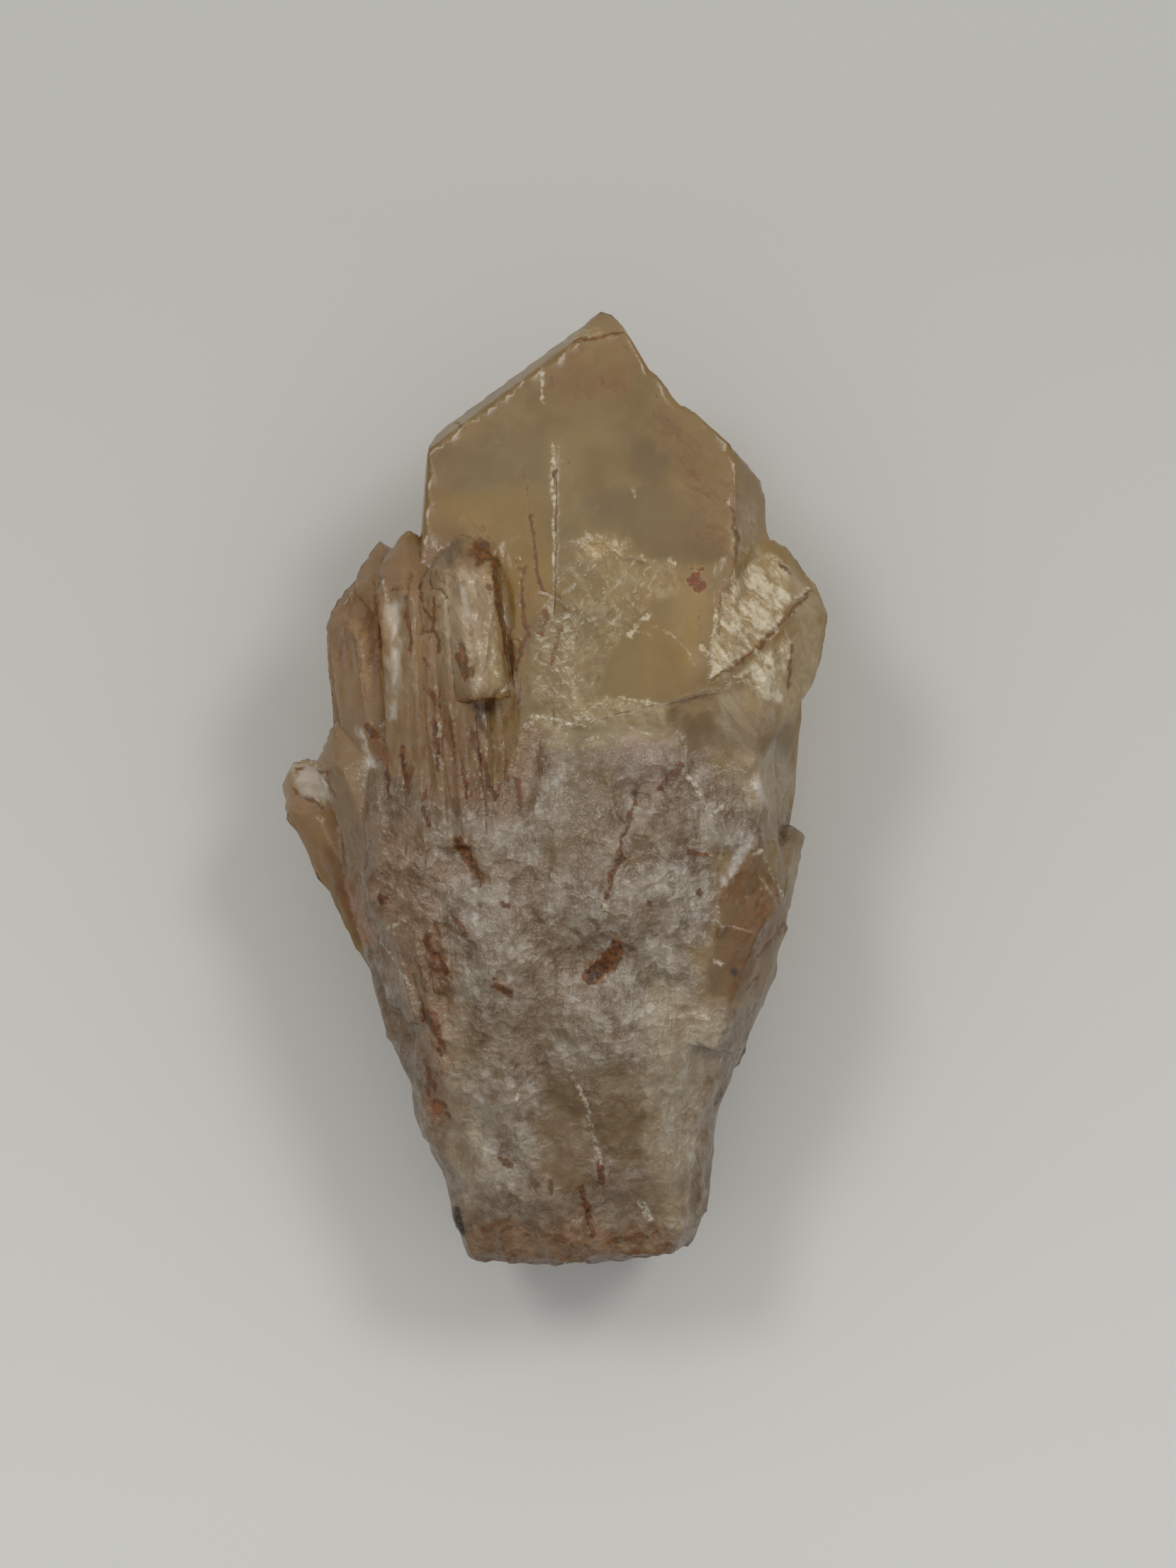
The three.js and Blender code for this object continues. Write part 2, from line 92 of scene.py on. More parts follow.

# %% [markdown]
# ## Marks, placed one by one
# A mineral's marks don't repeat, so each is placed where it belongs, in millimetres on the top of the
# specimen: X to the right, Y towards the tips. A stroke has two ends, a width and a strength. An
# outline is a list of corners, in most groups with a strength too. They come first, because the skin
# has to be finest where they lie.

# %% Rust: water left iron in the joints, as thin lines, films and a few lumps
RUST = {
    "main crystal": [
        (2.2, 44.2, 6.9, 45.1, 0.17, 0.8), (0, 40.6, -0.4, 39.7, 0.35, 0.5),
        (0.4, 31.4, 0.3, 30.2, 0.31, 0.9),
        (1.7, 32.3, 1.8, 32.1, 0.35, 0.6), (-2.8, 31.8, -2.1, 27, 0.1, 0.6),
        (-2.1, 27, -1.2, 20.7, 0.15, 0.9),
        (-1.1, 20.7, -0.9, 19.3, 0.42, 0.9), (-9, 27.6, -5.6, 24.5, 0.1, 0.5),
        (-9.4, 36.4, -8.4, 35.4, 0.3, 0.6),
        (6.6, 22.9, 9, 22.6, 0.3, 0.6), (-0.6, 17.7, -1.2, 15.2, 0.5, 0.7), (0.9, 16.2, 0, 12.4, 0.4, 0.6),
        (0.2, 19.5, 1.3, 17.6, 0.3, 0.6), (17.7, 27.6, 18, 24.1, 0.25, 0.7), (18.1, 24.1, 17, 19.6, 0.2, 0.6),
        (14.4, 17.9, 14.4, 15.5, 0.3, 0.5), (13.2, 11.3, 13.7, 9.9, 0.5, 0.5),
        (16.5, 19.4, 16.2, 15.5, 0.21, 0.5),
    ],
    "stout crystal": [
        (25.4, 19.9, 20.4, 14.2, 0.16, 0.8), (24.6, 19.4, 19.2, 13.2, 0.1, 0.5),
        (20.4, 14.2, 15.7, 11, 0.16, 0.7),
        (22.2, 22.4, 23.1, 21.5, 0.45, 0.8), (23.2, 14.2, 23.1, 10.2, 0.14, 0.7),
        (16.6, 19.9, 17.4, 19.2, 0.3, 0.5),
    ],
    "channel beside the front pair": [
        (-3.8, 22.9, -2.9, 21.2, 0.12, 0.7), (-2.6, 22.2, -3, 20.7, 0.12, 0.7),
        (-3.1, 20.7, -2.7, 16.2, 0.2, 0.9),
        (-2.7, 17.2, -2.3, 15.1, 0.28, 0.9), (-3.8, 14.8, -3.8, 11.6, 0.4, 0.8),
        (-2.3, 16.2, -3.5, 12, 0.2, 0.8),
        (-5.7, 22.9, -5.1, 17.9, 0.3, 1), (-5.1, 17.9, -4.6, 14.6, 0.24, 0.9),
        (-4.6, 14.6, -4, 11.6, 0.3, 0.9),
        (-6.9, 24.3, -6.6, 23, 1.5, 0.9), (-6.3, 20.1, -6, 19.8, 0.3, 0.8),
        (-6.9, 26.2, -5.6, 24.1, 0.2, 0.5),
    ],
    "left group": [
        (-13.8, 21.4, -14, 17.2, 0.14, 0.6), (-14, 17.2, -13.7, 13.7, 0.2, 0.9),
        (-12.5, 18.2, -11.6, 16.7, 0.28, 0.8),
        (-11.5, 18.9, -11.4, 16.5, 0.2, 0.8), (-11.4, 16.5, -10.9, 13.7, 0.3, 0.9),
        (-12.5, 13, -12, 12, 0.2, 0.7),
        (-9, 13.2, -8.3, 11.3, 0.9, 0.9), (-8.8, 14.4, -8.4, 12.8, 0.5, 0.8),
        (-7.8, 11.8, -7.6, 11.4, 0.5, 0.9),
        (-19.3, 15.5, -18.7, 12, 0.5, 0.5), (-17.6, 20.7, -16.7, 14.4, 0.14, 0.6),
        (-11.8, 9.9, -10.7, 8.3, 0.3, 0.8),
    ],
    "columns": [
        (-17.9, 6.6, -17.4, 5.4, 0.7, 0.9), (-14.6, 4.4, -14, 0.2, 0.24, 1), (-11.5, 6.9, -11, 2.3, 0.4, 0.9),
        (-7.3, 8.3, -6.4, 5.4, 0.6, 0.8), (-4.9, 10.1, -6.6, 7.8, 0.4, 0.8), (-7.8, 6.1, -6.9, 3.7, 0.4, 0.8),
        (-6.9, 3.7, -5.6, -0.5, 0.35, 0.8), (-3.5, 1.2, -3.1, -1.2, 0.5, 0.6),
        (-12.5, -1.5, -11.9, -3.3, 0.3, 0.8),
        (-16.2, 2.6, -15.8, -0.6, 0.14, 0.7), (-8.6, 3.2, -8.2, -0.8, 0.14, 0.6),
        (-9.8, 7.4, -9.4, 3.8, 0.16, 0.7),
    ],
    "low crystals": [
        (-25.7, 2.5, -21.9, 1.9, 0.25, 0.7), (-26.2, 0.4, -22.9, -1.4, 0.22, 0.7),
        (-22.2, 1.6, -21.3, -0.5, 0.25, 0.6),
    ],
    "stem": [
        (-9, -4.8, -7.8, -7.1, 1.0, 0.8), (-7.6, -7.1, -6.7, -8.5, 0.5, 0.8),
        (-16.7, -10.3, -16.5, -10.5, 0.5, 0.9),
        (-12.2, -14.4, -10.2, -17.5, 0.6, 0.8), (-12.8, -21.3, -10.4, -24.8, 0.6, 0.7),
        (-9.7, -11.6, -8.3, -13.7, 0.6, 0.6),
        (-5.6, -18.2, -4.1, -19.6, 0.7, 0.8), (-4.9, -10.5, -4.2, -10.9, 0.4, 0.7),
        (3.8, -18, 6.4, -15.1, 1.5, 1),
        (3.3, -17.8, 4.5, -17.3, 0.9, 1), (8.1, -0.4, 6.6, -5.7, 0.17, 0.7), (6.6, -5.7, 5, -11, 0.24, 0.8),
        (10.4, 0.5, 12.6, 2.6, 0.9, 0.6), (13.2, -5.7, 15, -6.1, 0.4, 0.7),
        (14.3, -9.6, 14.5, -9.9, 0.45, 0.9),
        (9.3, -10.7, 9.4, -10.8, 0.38, 0.9), (6.5, -6, 6.6, -6.1, 0.42, 0.9),
        (17.3, -19.6, 19.4, -16.1, 0.4, 0.4),
    ],
    "base": [
        (-11.5, -30.7, -11.3, -31.3, 0.76, 0.9), (-12.5, -26.5, -11.5, -29.3, 0.5, 0.6),
        (-5, -36.1, -3.8, -36.6, 0.5, 0.8),
        (2.9, -39, 3.3, -41, 0.5, 0.9), (3.3, -41, 3.9, -43.8, 0.4, 0.9), (4.6, -36.6, 4.8, -38.3, 0.7, 0.8),
        (-0.4, -38, 0, -39.3, 0.28, 0.6), (-6.9, -43.5, -4.4, -42.3, 0.9, 0.5),
        (-1, -43.4, 1.5, -44.2, 0.8, 0.5),
        (5.5, -44.5, 9.1, -43.8, 0.6, 0.6),
    ],
}
ORANGE = [
    (-22.4, -6, -20.6, -10, 1.6, 0.5), (-20.6, -9.6, -18.6, -14.4, 2.2, 0.9), (-17.2, 5, -16, 3, 1.1, 0.8),
    (-11.4, -31, -11.3, -31.3, 0.9, 0.9),
]
RED_SPOT = [
    (14, 20.9, 14.3, 20, 1.1, 1.0), (13.5, 20.6, 14.6, 20.3, 0.9, 0.9), (13.6, 21.9, 14.6, 21.7, 0.25, 0.7),
]

# %% Dark grains and facets, painted shade in a gap, and glints where a chip or an edge throws light back
DARK = {
    "smoky tip facets": [
        (-10.3, 23.3, -9.7, 22, 0.5, 0.5), (-10.1, 23.6, -9, 24.5, 0.4, 0.5),
        (-8.9, 23.6, -8.6, 22.9, 0.3, 0.4),
    ],
    # Painted shade in the gap under the front pair.
    "gap under the front pair": [(-7.8, 8.3, -6, 8.1, 0.4, 0.7), (-7.2, 7.5, -6.4, 7.3, 0.25, 0.5)],
    "grains": [
        (-9.5, -41.4, -9.1, -43.6, 0.7, 1), (17.6, -17.4, 17.8, -17.6, 0.6, 1),
        (4.1, -17.8, 4.6, -17.5, 0.4, 0.7), (8, 0, 8.1, -0.3, 0.3, 0.7),
    ],
}
GLINTS = {
    "steps on the main crystal": [
        (-3.1, 40.4, -2.9, 40.2, 0.25, 0.6), (-1, 41.5, -0.95, 38.2, 0.14, 0.9),
        (0.1, 34, 0.15, 28, 0.14, 0.9),
        (0.15, 28, 0.2, 22.7, 0.1, 0.9), (0.2, 22.7, 0.3, 19.4, 0.1, 0.7), (7.9, 29.7, 8.2, 29.1, 0.2, 0.8),
        (0.5, 33.8, 1.8, 30.6, 0.08, 0.4), (1.8, 30.6, 2.9, 26.2, 0.06, 0.3),
    ],
    "cracks in the main crystal": [
        (-1.2, 19.6, 4.2, 16.7, 0.1, 0.7), (7.4, 15.4, 9.4, 17.4, 0.4, 0.9), (2.4, 24.4, 3.5, 24.9, 0.9, 0.8),
        (6.1, 24.4, 7.1, 24, 0.5, 0.7), (11.5, 22.6, 12, 22.4, 0.35, 0.9),
        (14.6, 14.2, 15.1, 13.4, 0.35, 0.8),
        (-1.4, 15.3, -0.4, 14.2, 0.25, 0.8), (9.9, 16.2, 12.5, 14.9, 0.1, 0.5),
        (12.5, 14.9, 13.9, 12.3, 0.1, 0.5),
        (-1.6, 7.5, 3.5, 6.4, 0.14, 0.8), (3.5, 8.2, 6.4, 9.3, 0.14, 0.6), (6.4, 9.3, 11.1, 8.5, 0.14, 0.7),
        (3.1, 7.1, 5.5, 6.8, 0.16, 0.7), (4, 17.2, 9.6, 15.2, 0.08, 0.5), (5.6, 23.6, 9.9, 22.6, 0.1, 0.5),
    ],
    "stout crystal": [
        (15.9, 17.9, 15.5, 11.2, 0.14, 0.8), (18.2, 17.9, 19, 17.5, 0.5, 0.9),
        (19.9, 18.6, 22, 18.2, 0.5, 0.7),
        (20.6, 17.4, 21.8, 15.8, 0.6, 0.7), (19.9, 13.7, 20.8, 12.7, 0.5, 0.7),
        (20.5, 9.9, 22.2, 9.2, 0.3, 0.8),
        (20.6, 11.2, 21.6, 10.2, 0.3, 0.7), (22.6, 18, 25.2, 20.1, 0.1, 0.7),
        (16.4, 12.9, 18.3, 14.9, 0.14, 0.6),
    ],
    "left group": [
        (-16.4, 20.6, -16.1, 18.7, 0.14, 0.8), (-5, 9.8, -4.2, 10.4, 0.2, 0.9),
        (-11.1, 7.4, -10.9, 5.4, 0.3, 0.6),
        (-10.2, 8.6, -9.4, 8, 0.2, 0.6), (-11.5, 4, -10.4, 2.6, 0.2, 0.5), (-26, 2.6, -24.3, 3, 0.2, 0.8),
        (-22.9, 1.2, -22.6, -1.2, 0.15, 0.6), (-16.9, -14.6, -13.6, -19.1, 0.14, 0.6),
    ],
    "clear crystal in the stem": [
        (15.6, -8, 16.6, -5.6, 0.2, 0.5), (20.4, -5.4, 22.9, -10.6, 0.14, 0.6),
        (19.8, -5.9, 20.5, -5.7, 0.28, 0.8),
        (20.4, -8.2, 21.6, -10, 0.2, 0.6), (13.2, 1.6, 15.1, -1.2, 0.4, 0.7),
        (15.2, -2.2, 16.6, -1.4, 0.4, 0.6),
    ],
    "stem": [
        (-2.3, -27.9, -3.5, -30, 0.3, 0.6), (8.8, -40.4, 9.7, -42.1, 0.8, 0.8),
        (14, -21.6, 15.1, -22, 0.5, 0.7),
        (15.8, -16.3, 16.5, -16.6, 0.4, 0.8), (-16, -13.3, -14.9, -12.6, 0.2, 0.6),
        (-2.9, -16.1, -0.8, -16.1, 1.1, 0.45),
        (-9, -14, -8.3, -14.4, 0.4, 0.5), (4.8, -9.9, 5.4, -11.2, 0.25, 0.7),
        (1.7, -27.2, 2.9, -29.4, 0.25, 0.8),
        (2.9, -29.4, 3.6, -31.6, 0.2, 0.7), (3.6, -31.6, 4.8, -36.4, 0.16, 0.6),
        (12.3, -30.7, 12.6, -35.2, 0.3, 0.4),
    ],
}

# %% [markdown]
# Wider marks are outlines. Veils are healed cracks that shine like crumpled silk; the one along the
# main crystal's left rim is a painted highlight. Painted highlights are small faces that mirror the
# window. Pale places are lighter, frost is milkier, windows are clearer. Films and stains are rust
# spread thin, soft at the border or torn. Shades are painted shade on parts of the crystals and in the
# gap under the front pair.

# %% Outlines: veils, painted highlights, pale places, frost, windows, films, stains and painted shades
VEILS_AND_HIGHLIGHTS = {
    "top of the crack": ([
        (3.6, 25.6), (7.1, 24.8), (9.1, 22.7), (12.1, 22.3), (12.6, 18.9), (10, 18.9), (8.3, 17.2),
        (6.9, 15.3), (4.8, 15.6), (3.5, 17), (0, 18.9), (1, 21), (2.1, 23.7),
    ], 0.32),
    "bright corner": ([(3.4, 25.4), (7, 24.6), (7.6, 23.6), (4.6, 22.6), (2.6, 23.4)], 0.75),
    "below the crack": ([
        (-1.4, 18.9), (3.5, 17), (6.9, 15.1), (5.5, 12.7), (4.5, 9.6), (0, 7.5), (-2.1, 9.6), (-2.8, 11.6),
        (-1.7, 15.1),
    ], 0.25),
    "band over the stem": ([
        (-2.1, 7.5), (3.5, 9.2), (6.4, 9.4), (11.4, 8.5), (10.7, 6.1), (5.5, 6.3), (2.1, 6.8), (-1.4, 6.3),
    ], 0.4),
    "stout crystal": ([
        (16.5, 18.6), (17.7, 20.7), (20.3, 23.2), (21.8, 23.6), (23.1, 22), (23.3, 19.6), (22.5, 17),
        (20.3, 14.6), (17.7, 12.7), (15.4, 10.7), (15.6, 15.1),
    ], 1),
    "stout crystal, low": ([
        (18, 11.6), (22.9, 15.5), (23.4, 13.7), (22.5, 11), (22.3, 8.9), (20.9, 8.8), (19.4, 10.3),
    ], 0.9),
    "stout crystal, right": ([
        (23.4, 22), (26.4, 17), (26.4, 12), (24.5, 7.5), (20, 5), (16, 5.4), (15.6, 9.6), (22, 11),
        (23.5, 15),
    ], 0.3),
    "broken tip": ([(-26.4, 2.2), (-25, 3.6), (-22, 2), (-21.6, -0.5), (-23.2, -1.6), (-25.4, -0.2)], 0.7),
    "ribs": ([
        (-16.7, 18.9), (-14.8, 18.9), (-14.3, 15.1), (-14.5, 10.3), (-15, 7.1), (-16.2, 7.5), (-16.4, 14.4),
    ], 0.45),
    # Painted highlight: bright streaks along the main crystal's upper left rim, kept with the veils.
    "left rim": ([
        (2.5, 47.2), (0.5, 45), (-4, 41.4), (-9, 37.2), (-12.4, 33.6), (-13, 34.6), (-7, 40.6),
    ], 0.3),
    "tip": ([(2.4, 46.6), (5.6, 45.4), (6.6, 44.8), (2.4, 44.1), (0.2, 43.6)], 0.4),
    "side face": ([(16.8, 28.6), (19.6, 29.6), (20.6, 26.6), (20.6, 23), (18, 22.4), (17, 25)], 0.35),
    "front pair": ([
        (-11.2, 21.6), (-8.6, 22), (-6.2, 21.7), (-5.6, 20.7), (-4.6, 12), (-6.6, 9.4), (-8.2, 11.4),
        (-10.6, 12),
    ], 0.4),
}
# Painted highlights: small faces, ribs and the broken tip painted near white where they mirror the window.
PAINTED_HIGHLIGHTS = {
    "rib, top": ([(-16.4, 18.4), (-15, 18.5), (-14.7, 15.8), (-15.5, 15.3)], 0.8),
    "rib, middle": ([(-15.8, 14.3), (-14.6, 14.1), (-14.7, 10.8), (-15.5, 10.4)], 0.9),
    "rib, foot": ([(-15.8, 8.5), (-15, 8.6), (-15, 7.2), (-15.8, 7)], 0.6),
    "left crystal, foot": ([(-19.4, 6.4), (-18.6, 6.1), (-17.3, 2.7), (-17.9, 2.2)], 0.9),
    "front pair": ([(-8.9, 19.9), (-8.2, 19.6), (-7.8, 17), (-8.1, 16.4)], 0.8),
    "broken tip": ([(-26, 1.4), (-24.6, 2.8), (-22.4, 1.6), (-22, -0.4), (-23.4, -0.8), (-25.2, -0.2)], 0.7),
    "clear crystal, edge": ([(16.3, -9.2), (16.9, -8.9), (19.6, -5), (19.2, -4.6), (17.6, -6.2)], 0.9),
    "above the clear crystal": ([(19.3, 1.2), (20.2, 2), (21, -1), (20.4, -1.2)], 0.7),
}
PALE = {
    "stout crystal": ([
        (23.6, 23), (26.6, 17.4), (26.6, 12), (24.5, 7.5), (20.8, 6), (17, 6), (16, 9), (21, 12), (23.4, 16),
    ], 0.55),
    "stem, low right": ([
        (9.6, -18), (17, -20), (15.9, -28.2), (13.5, -37.6), (12.6, -43), (10.4, -43), (8.8, -32),
    ], 0.35),
    "stem, low left": ([(-12, -20), (-9, -20), (-6, -36), (-8, -42), (-11, -34)], 0.25),
    "front pair": ([(-11, 21), (-6.2, 21.4), (-4.6, 12), (-6.6, 9.4), (-10.4, 12)], 0.5),
    "band over the stem": ([(-2, 7.5), (11, 8.5), (12, 5), (0, 4.5)], 0.6),
    "foot of the stout crystal": ([(16, 7), (24.5, 8), (24, -1), (21, -3), (17, 3)], 0.5),
}
FROST = {
    "under the columns": [
        (-12.5, -2.2), (-6.9, -1.2), (-2.1, -3.3), (-1.4, -6.4), (-6.3, -5.7), (-9.7, -5), (-12.8, -5.7),
    ],
    "top middle": [(-2.3, 1.9), (1.7, 3), (2.8, -0.8), (1.4, -2.9), (-2.1, -2.2)],
    "beside the spot": [(0.6, -9.4), (8.8, -8.2), (9, -14.6), (5, -15.4), (1, -13.4)],
    "middle": [
        (1.7, -18.9), (5.2, -14), (12.1, -13.3), (14.2, -18.2), (12.5, -25.8), (9, -26.9), (1, -27.2),
        (0, -23.7),
    ],
    "right": [(7.3, -6.4), (12.8, -5), (15.6, -8.5), (15.2, -14), (11.4, -12.6), (6.9, -11.2)],
    "low left": [(-8.3, -26.5), (-2.1, -26.9), (-1.4, -32.7), (-2.1, -40.4), (-6.9, -41.1), (-8.3, -33.4)],
    "low right": [(9.4, -23), (17, -22.3), (15.9, -28.2), (13.5, -37.6), (10.4, -37.3), (9.4, -30)],
    "top right": [(13, 2), (15.4, 1), (18, -3), (19.6, 1.6), (20.6, -2), (17.6, -6.4), (14.6, -4)],
    "left": [(-13, -8), (-6, -9), (-3, -14), (-3, -20), (-8, -22), (-10, -14)],
}
WINDOWS = {
    "ribbed": [
        (4.5, -26.9), (9, -26.7), (9.1, -33.4), (9.7, -36.6), (5.5, -36.9), (4.3, -32.7), (3.6, -29.6),
    ],
    "long": [
        (-1.2, -27.9), (1.7, -26.5), (2.7, -30), (3.6, -36.2), (2.4, -39.3), (-0.4, -38.6), (-1.7, -34.1),
    ],
    "corner": [(9.8, -37.6), (11.8, -38), (11.6, -42.5), (9.9, -42.3)],
    "clear crystal": [
        (20.2, -5.2), (23.6, -10.7), (23.2, -13.3), (18.7, -20.6), (14.7, -19.6), (15.6, -13.3), (17.3, -8.5),
    ],
    "top": [(2.1, 5.1), (5.6, 4.4), (5.4, -1.9), (2.1, -7.1), (0, -8.1), (-0.5, -5.7), (1, 1.2)],
    "foot of the stout crystal": [
        (12, 7.5), (24.3, 7.5), (23.6, -0.8), (21.5, -3.3), (20.8, 3.7), (15.6, 4), (12.1, 5.1),
    ],
}
FILMS = {
    "under the tip": ([
        (-1.7, 41.6), (1.7, 44), (6.9, 44.6), (8.8, 41.5), (6.8, 38.6), (2.2, 38.4), (0, 38.8),
    ], 0.8),
    "right shoulder": ([
        (9.4, 37), (11, 38.4), (14.5, 34), (18.4, 29.8), (17.6, 26.2), (16.6, 22.6), (13.8, 24.6), (13, 29),
    ], 0.6),
    "left crystal, left": ([(-20.9, 18.6), (-19.6, 18.9), (-19.9, 12), (-21, 13.7)], 1),
    "left crystal, right": ([(-18.7, 18.6), (-16.7, 18.9), (-16.5, 10.3), (-17.7, 9.6)], 1),
    "left crystal, top": ([
        (-20.2, 21.4), (-16.9, 21.6), (-13.4, 23.6), (-11.8, 21), (-14, 19.9), (-17.3, 20.4),
    ], 0.5),
    "channel": ([(-5, 22), (-1.4, 20.7), (-2.2, 13.7), (-2.4, 9.4), (-4.2, 9.6), (-4.9, 15.1)], 0.3),
    "columns": ([(-12.4, 8.6), (-3.5, 9.4), (-1, 6), (-1.6, 0), (-5, -3), (-9, -1), (-12.4, 0.2)], 0.55),
    "left flank": ([(-20, -2), (-13, -3), (-10, -8), (-11, -14), (-12.4, -22), (-18, -14)], 0.35),
    "clear crystal": ([(16, -9), (19.8, -5.4), (23.4, -10), (23.4, -14), (20.8, -19.6), (16, -20)], 0.75),
    "low crystals": ([(-25.6, -1.4), (-21.4, -0.6), (-17, -8), (-18.6, -14), (-20.8, -10)], 0.4),
    "left edge": ([
        (-13.6, -13.6), (-10, -12.6), (-9.2, -19), (-10.4, -25), (-11.4, -30.6), (-12.4, -30), (-12.9, -22),
    ], 0.55),
}
STAINS = {
    "spot": ([(3, -18.6), (3.4, -17), (6, -14.4), (7.3, -14.4), (6.6, -16.6), (4.6, -18.9)], 0.9),
    "base": ([
        (-8.6, -42.6), (-4, -41.6), (-1, -43.4), (3, -41.4), (6, -43.4), (11.6, -42.6), (11.6, -47),
        (-8.6, -47),
    ], 0.5),
    "base, left": ([(-12.4, -27.5), (-10.4, -27.8), (-10, -33), (-12, -33)], 0.6),
    "under the columns": ([(-9.8, -4), (-7.8, -4.4), (-6.8, -8.6), (-8.2, -8.4)], 0.8),
    "left, upper": ([(-13, -13.6), (-11.6, -13.4), (-9.4, -18.4), (-10.4, -19.4)], 0.7),
    "left, lower": ([(-13, -20.6), (-11.8, -20.8), (-10, -25.6), (-11, -26.6)], 0.7),
    "middle": ([(-5.8, -17.9), (-4.2, -17.4), (-3.8, -19.6), (-5.2, -20)], 0.6),
    "front pair": ([(-7.9, 24.6), (-5.6, 24.2), (-5.4, 22.6), (-6.4, 22.2), (-7.8, 23)], 0.9),
}
# Painted shade: darker patches on the main crystal, over the smoky tip facets and in the gap under the front
# pair.
SHADES = {
    "main crystal, deep patch": ([(8, 34.5), (9, 34.8), (11.3, 32.3), (10.8, 30.6), (7.5, 31)], 0.4),
    "main crystal, left": ([
        (-12.2, 33.5), (-0.7, 37), (-0.4, 30.4), (-4.9, 30), (-9, 29.7), (-12.3, 27.9),
    ], 0.25),
    "main crystal, low right": ([
        (3.4, 28.6), (11.4, 30.6), (17.6, 22.8), (13.2, 22), (9.2, 23.1), (7.4, 25.1), (3.6, 26.2),
    ], 0.3),
    "gap under the front pair": ([(-7.8, 8.9), (-5.2, 8.5), (-4.9, 7.8), (-6.3, 6.8), (-7.6, 7.1)], 0.6),
    "smoky tip facets": ([(-10.5, 23.4), (-9.4, 24.8), (-8.5, 24.5), (-8.9, 22.7), (-9.9, 21.7)], 0.7),
}


# %% [markdown]
# Fine rust threads and sparkles come in dozens, so they are scattered inside an outline at random
# places, all running roughly one way, as they do along a crystal or a crack.

# %% Strokes scattered inside an outline
def inside(corners, points):
    """Which points lie inside a polygon: each side that a ray to the right crosses flips the answer."""
    within = np.zeros(len(points), bool)
    for (x0, y0), (x1, y1) in zip(corners, corners[1:] + corners[:1]):
        crosses = (y0 > points[:, 1]) != (y1 > points[:, 1])
        level = (points[:, 1] - y0) / ((y1 - y0) or 1e-9)
        within ^= crosses & (points[:, 0] < x0 + level * (x1 - x0))
    return within


def scatter(corners, number, heading, spread, length, width, strength):
    """Short strokes at random places inside a polygon, all running roughly one way (degrees)."""
    dice = random.Random(f"{corners[0]} {heading}")
    xs, ys = zip(*corners)
    made = []
    while len(made) < number:
        x, y = dice.uniform(min(xs), max(xs)), dice.uniform(min(ys), max(ys))
        turn = math.radians(heading + dice.uniform(-spread, spread))
        half = 0.5 * length * dice.uniform(0.4, 1)
        run = (half * math.cos(turn), half * math.sin(turn))
        size = (width * dice.uniform(0.5, 1.5), strength * dice.uniform(0.4, 1))
        stroke = (x - run[0], y - run[1], x + run[0], y + run[1], *size)
        if inside(corners, np.array([[x, y]]))[0]:
            made.append(stroke)
    return made


MAIN_SIDE = [(18, 30.2), (19.4, 31), (20.8, 27.6), (20.8, 24.5), (18.4, 23.4), (17.9, 26.9)]
COLUMNS = [(-16.3, 8.5), (-3.5, 10.3), (-3.5, -0.1), (-15, -1)]
CLEAR_FACE = [(16.3, -11.2), (19.8, -6.4), (22.5, -9.9), (23.2, -14), (20.8, -18.9), (17, -19.6)]
rust_marks = [mark for zone in RUST.values() for mark in zone]
rust_marks += scatter(FILMS["right shoulder"][0], 90, -40, 18, 2.8, 0.1, 0.5)
rust_marks += scatter(FILMS["under the tip"][0], 30, -55, 60, 0.9, 0.14, 0.5)
rust_marks += scatter(FILMS["left crystal, left"][0], 10, 84, 8, 3, 0.1, 0.5)
rust_marks += scatter(FILMS["left crystal, right"][0], 14, 80, 10, 3, 0.12, 0.5)
rust_marks += scatter(FILMS["channel"][0], 16, 88, 8, 3, 0.14, 0.6)
rust_marks += scatter(VEILS_AND_HIGHLIGHTS["front pair"][0], 46, 84, 14, 1.1, 0.12, 0.5)
rust_marks += scatter(COLUMNS, 46, 84, 12, 2, 0.15, 0.65)
rust_marks += scatter(CLEAR_FACE, 30, 50, 10, 2.6, 0.12, 0.7)
rust_marks += scatter(STAINS["base"][0], 50, 0, 60, 0.8, 0.3, 0.6)
rust_marks += scatter(STAINS["spot"][0], 18, 50, 40, 0.7, 0.35, 0.9)
rust_marks += scatter(VEILS_AND_HIGHLIGHTS["below the crack"][0], 22, 50, 60, 0.9, 0.22, 0.6)
rust_marks += scatter(FILMS["left edge"][0], 22, -62, 20, 1.6, 0.22, 0.6)
rust_marks += scatter(STAINS["front pair"][0], 16, 20, 80, 0.9, 0.4, 0.9)
rust_marks += scatter(STAINS["base, left"][0], 12, 70, 60, 0.8, 0.3, 0.8)
rust_marks += scatter(STAINS["left, upper"][0], 14, -60, 40, 0.9, 0.25, 0.7)
rust_marks += scatter(STAINS["left, lower"][0], 12, -60, 40, 0.9, 0.25, 0.7)
glint_marks = [mark for zone in GLINTS.values() for mark in zone]
glint_marks += scatter(MAIN_SIDE, 9, 86, 4, 3.4, 0.1, 0.35)
glint_marks += scatter(VEILS_AND_HIGHLIGHTS["top of the crack"][0], 60, 35, 70, 1.1, 0.1, 0.55)
glint_marks += scatter(VEILS_AND_HIGHLIGHTS["below the crack"][0], 60, 40, 70, 0.8, 0.12, 0.6)
glint_marks += scatter(VEILS_AND_HIGHLIGHTS["band over the stem"][0], 34, -5, 40, 1.3, 0.1, 0.5)
glint_marks += scatter(VEILS_AND_HIGHLIGHTS["stout crystal"][0], 46, 50, 60, 1.2, 0.16, 0.55)
glint_marks += scatter(VEILS_AND_HIGHLIGHTS["stout crystal, low"][0], 18, 60, 60, 1, 0.16, 0.6)
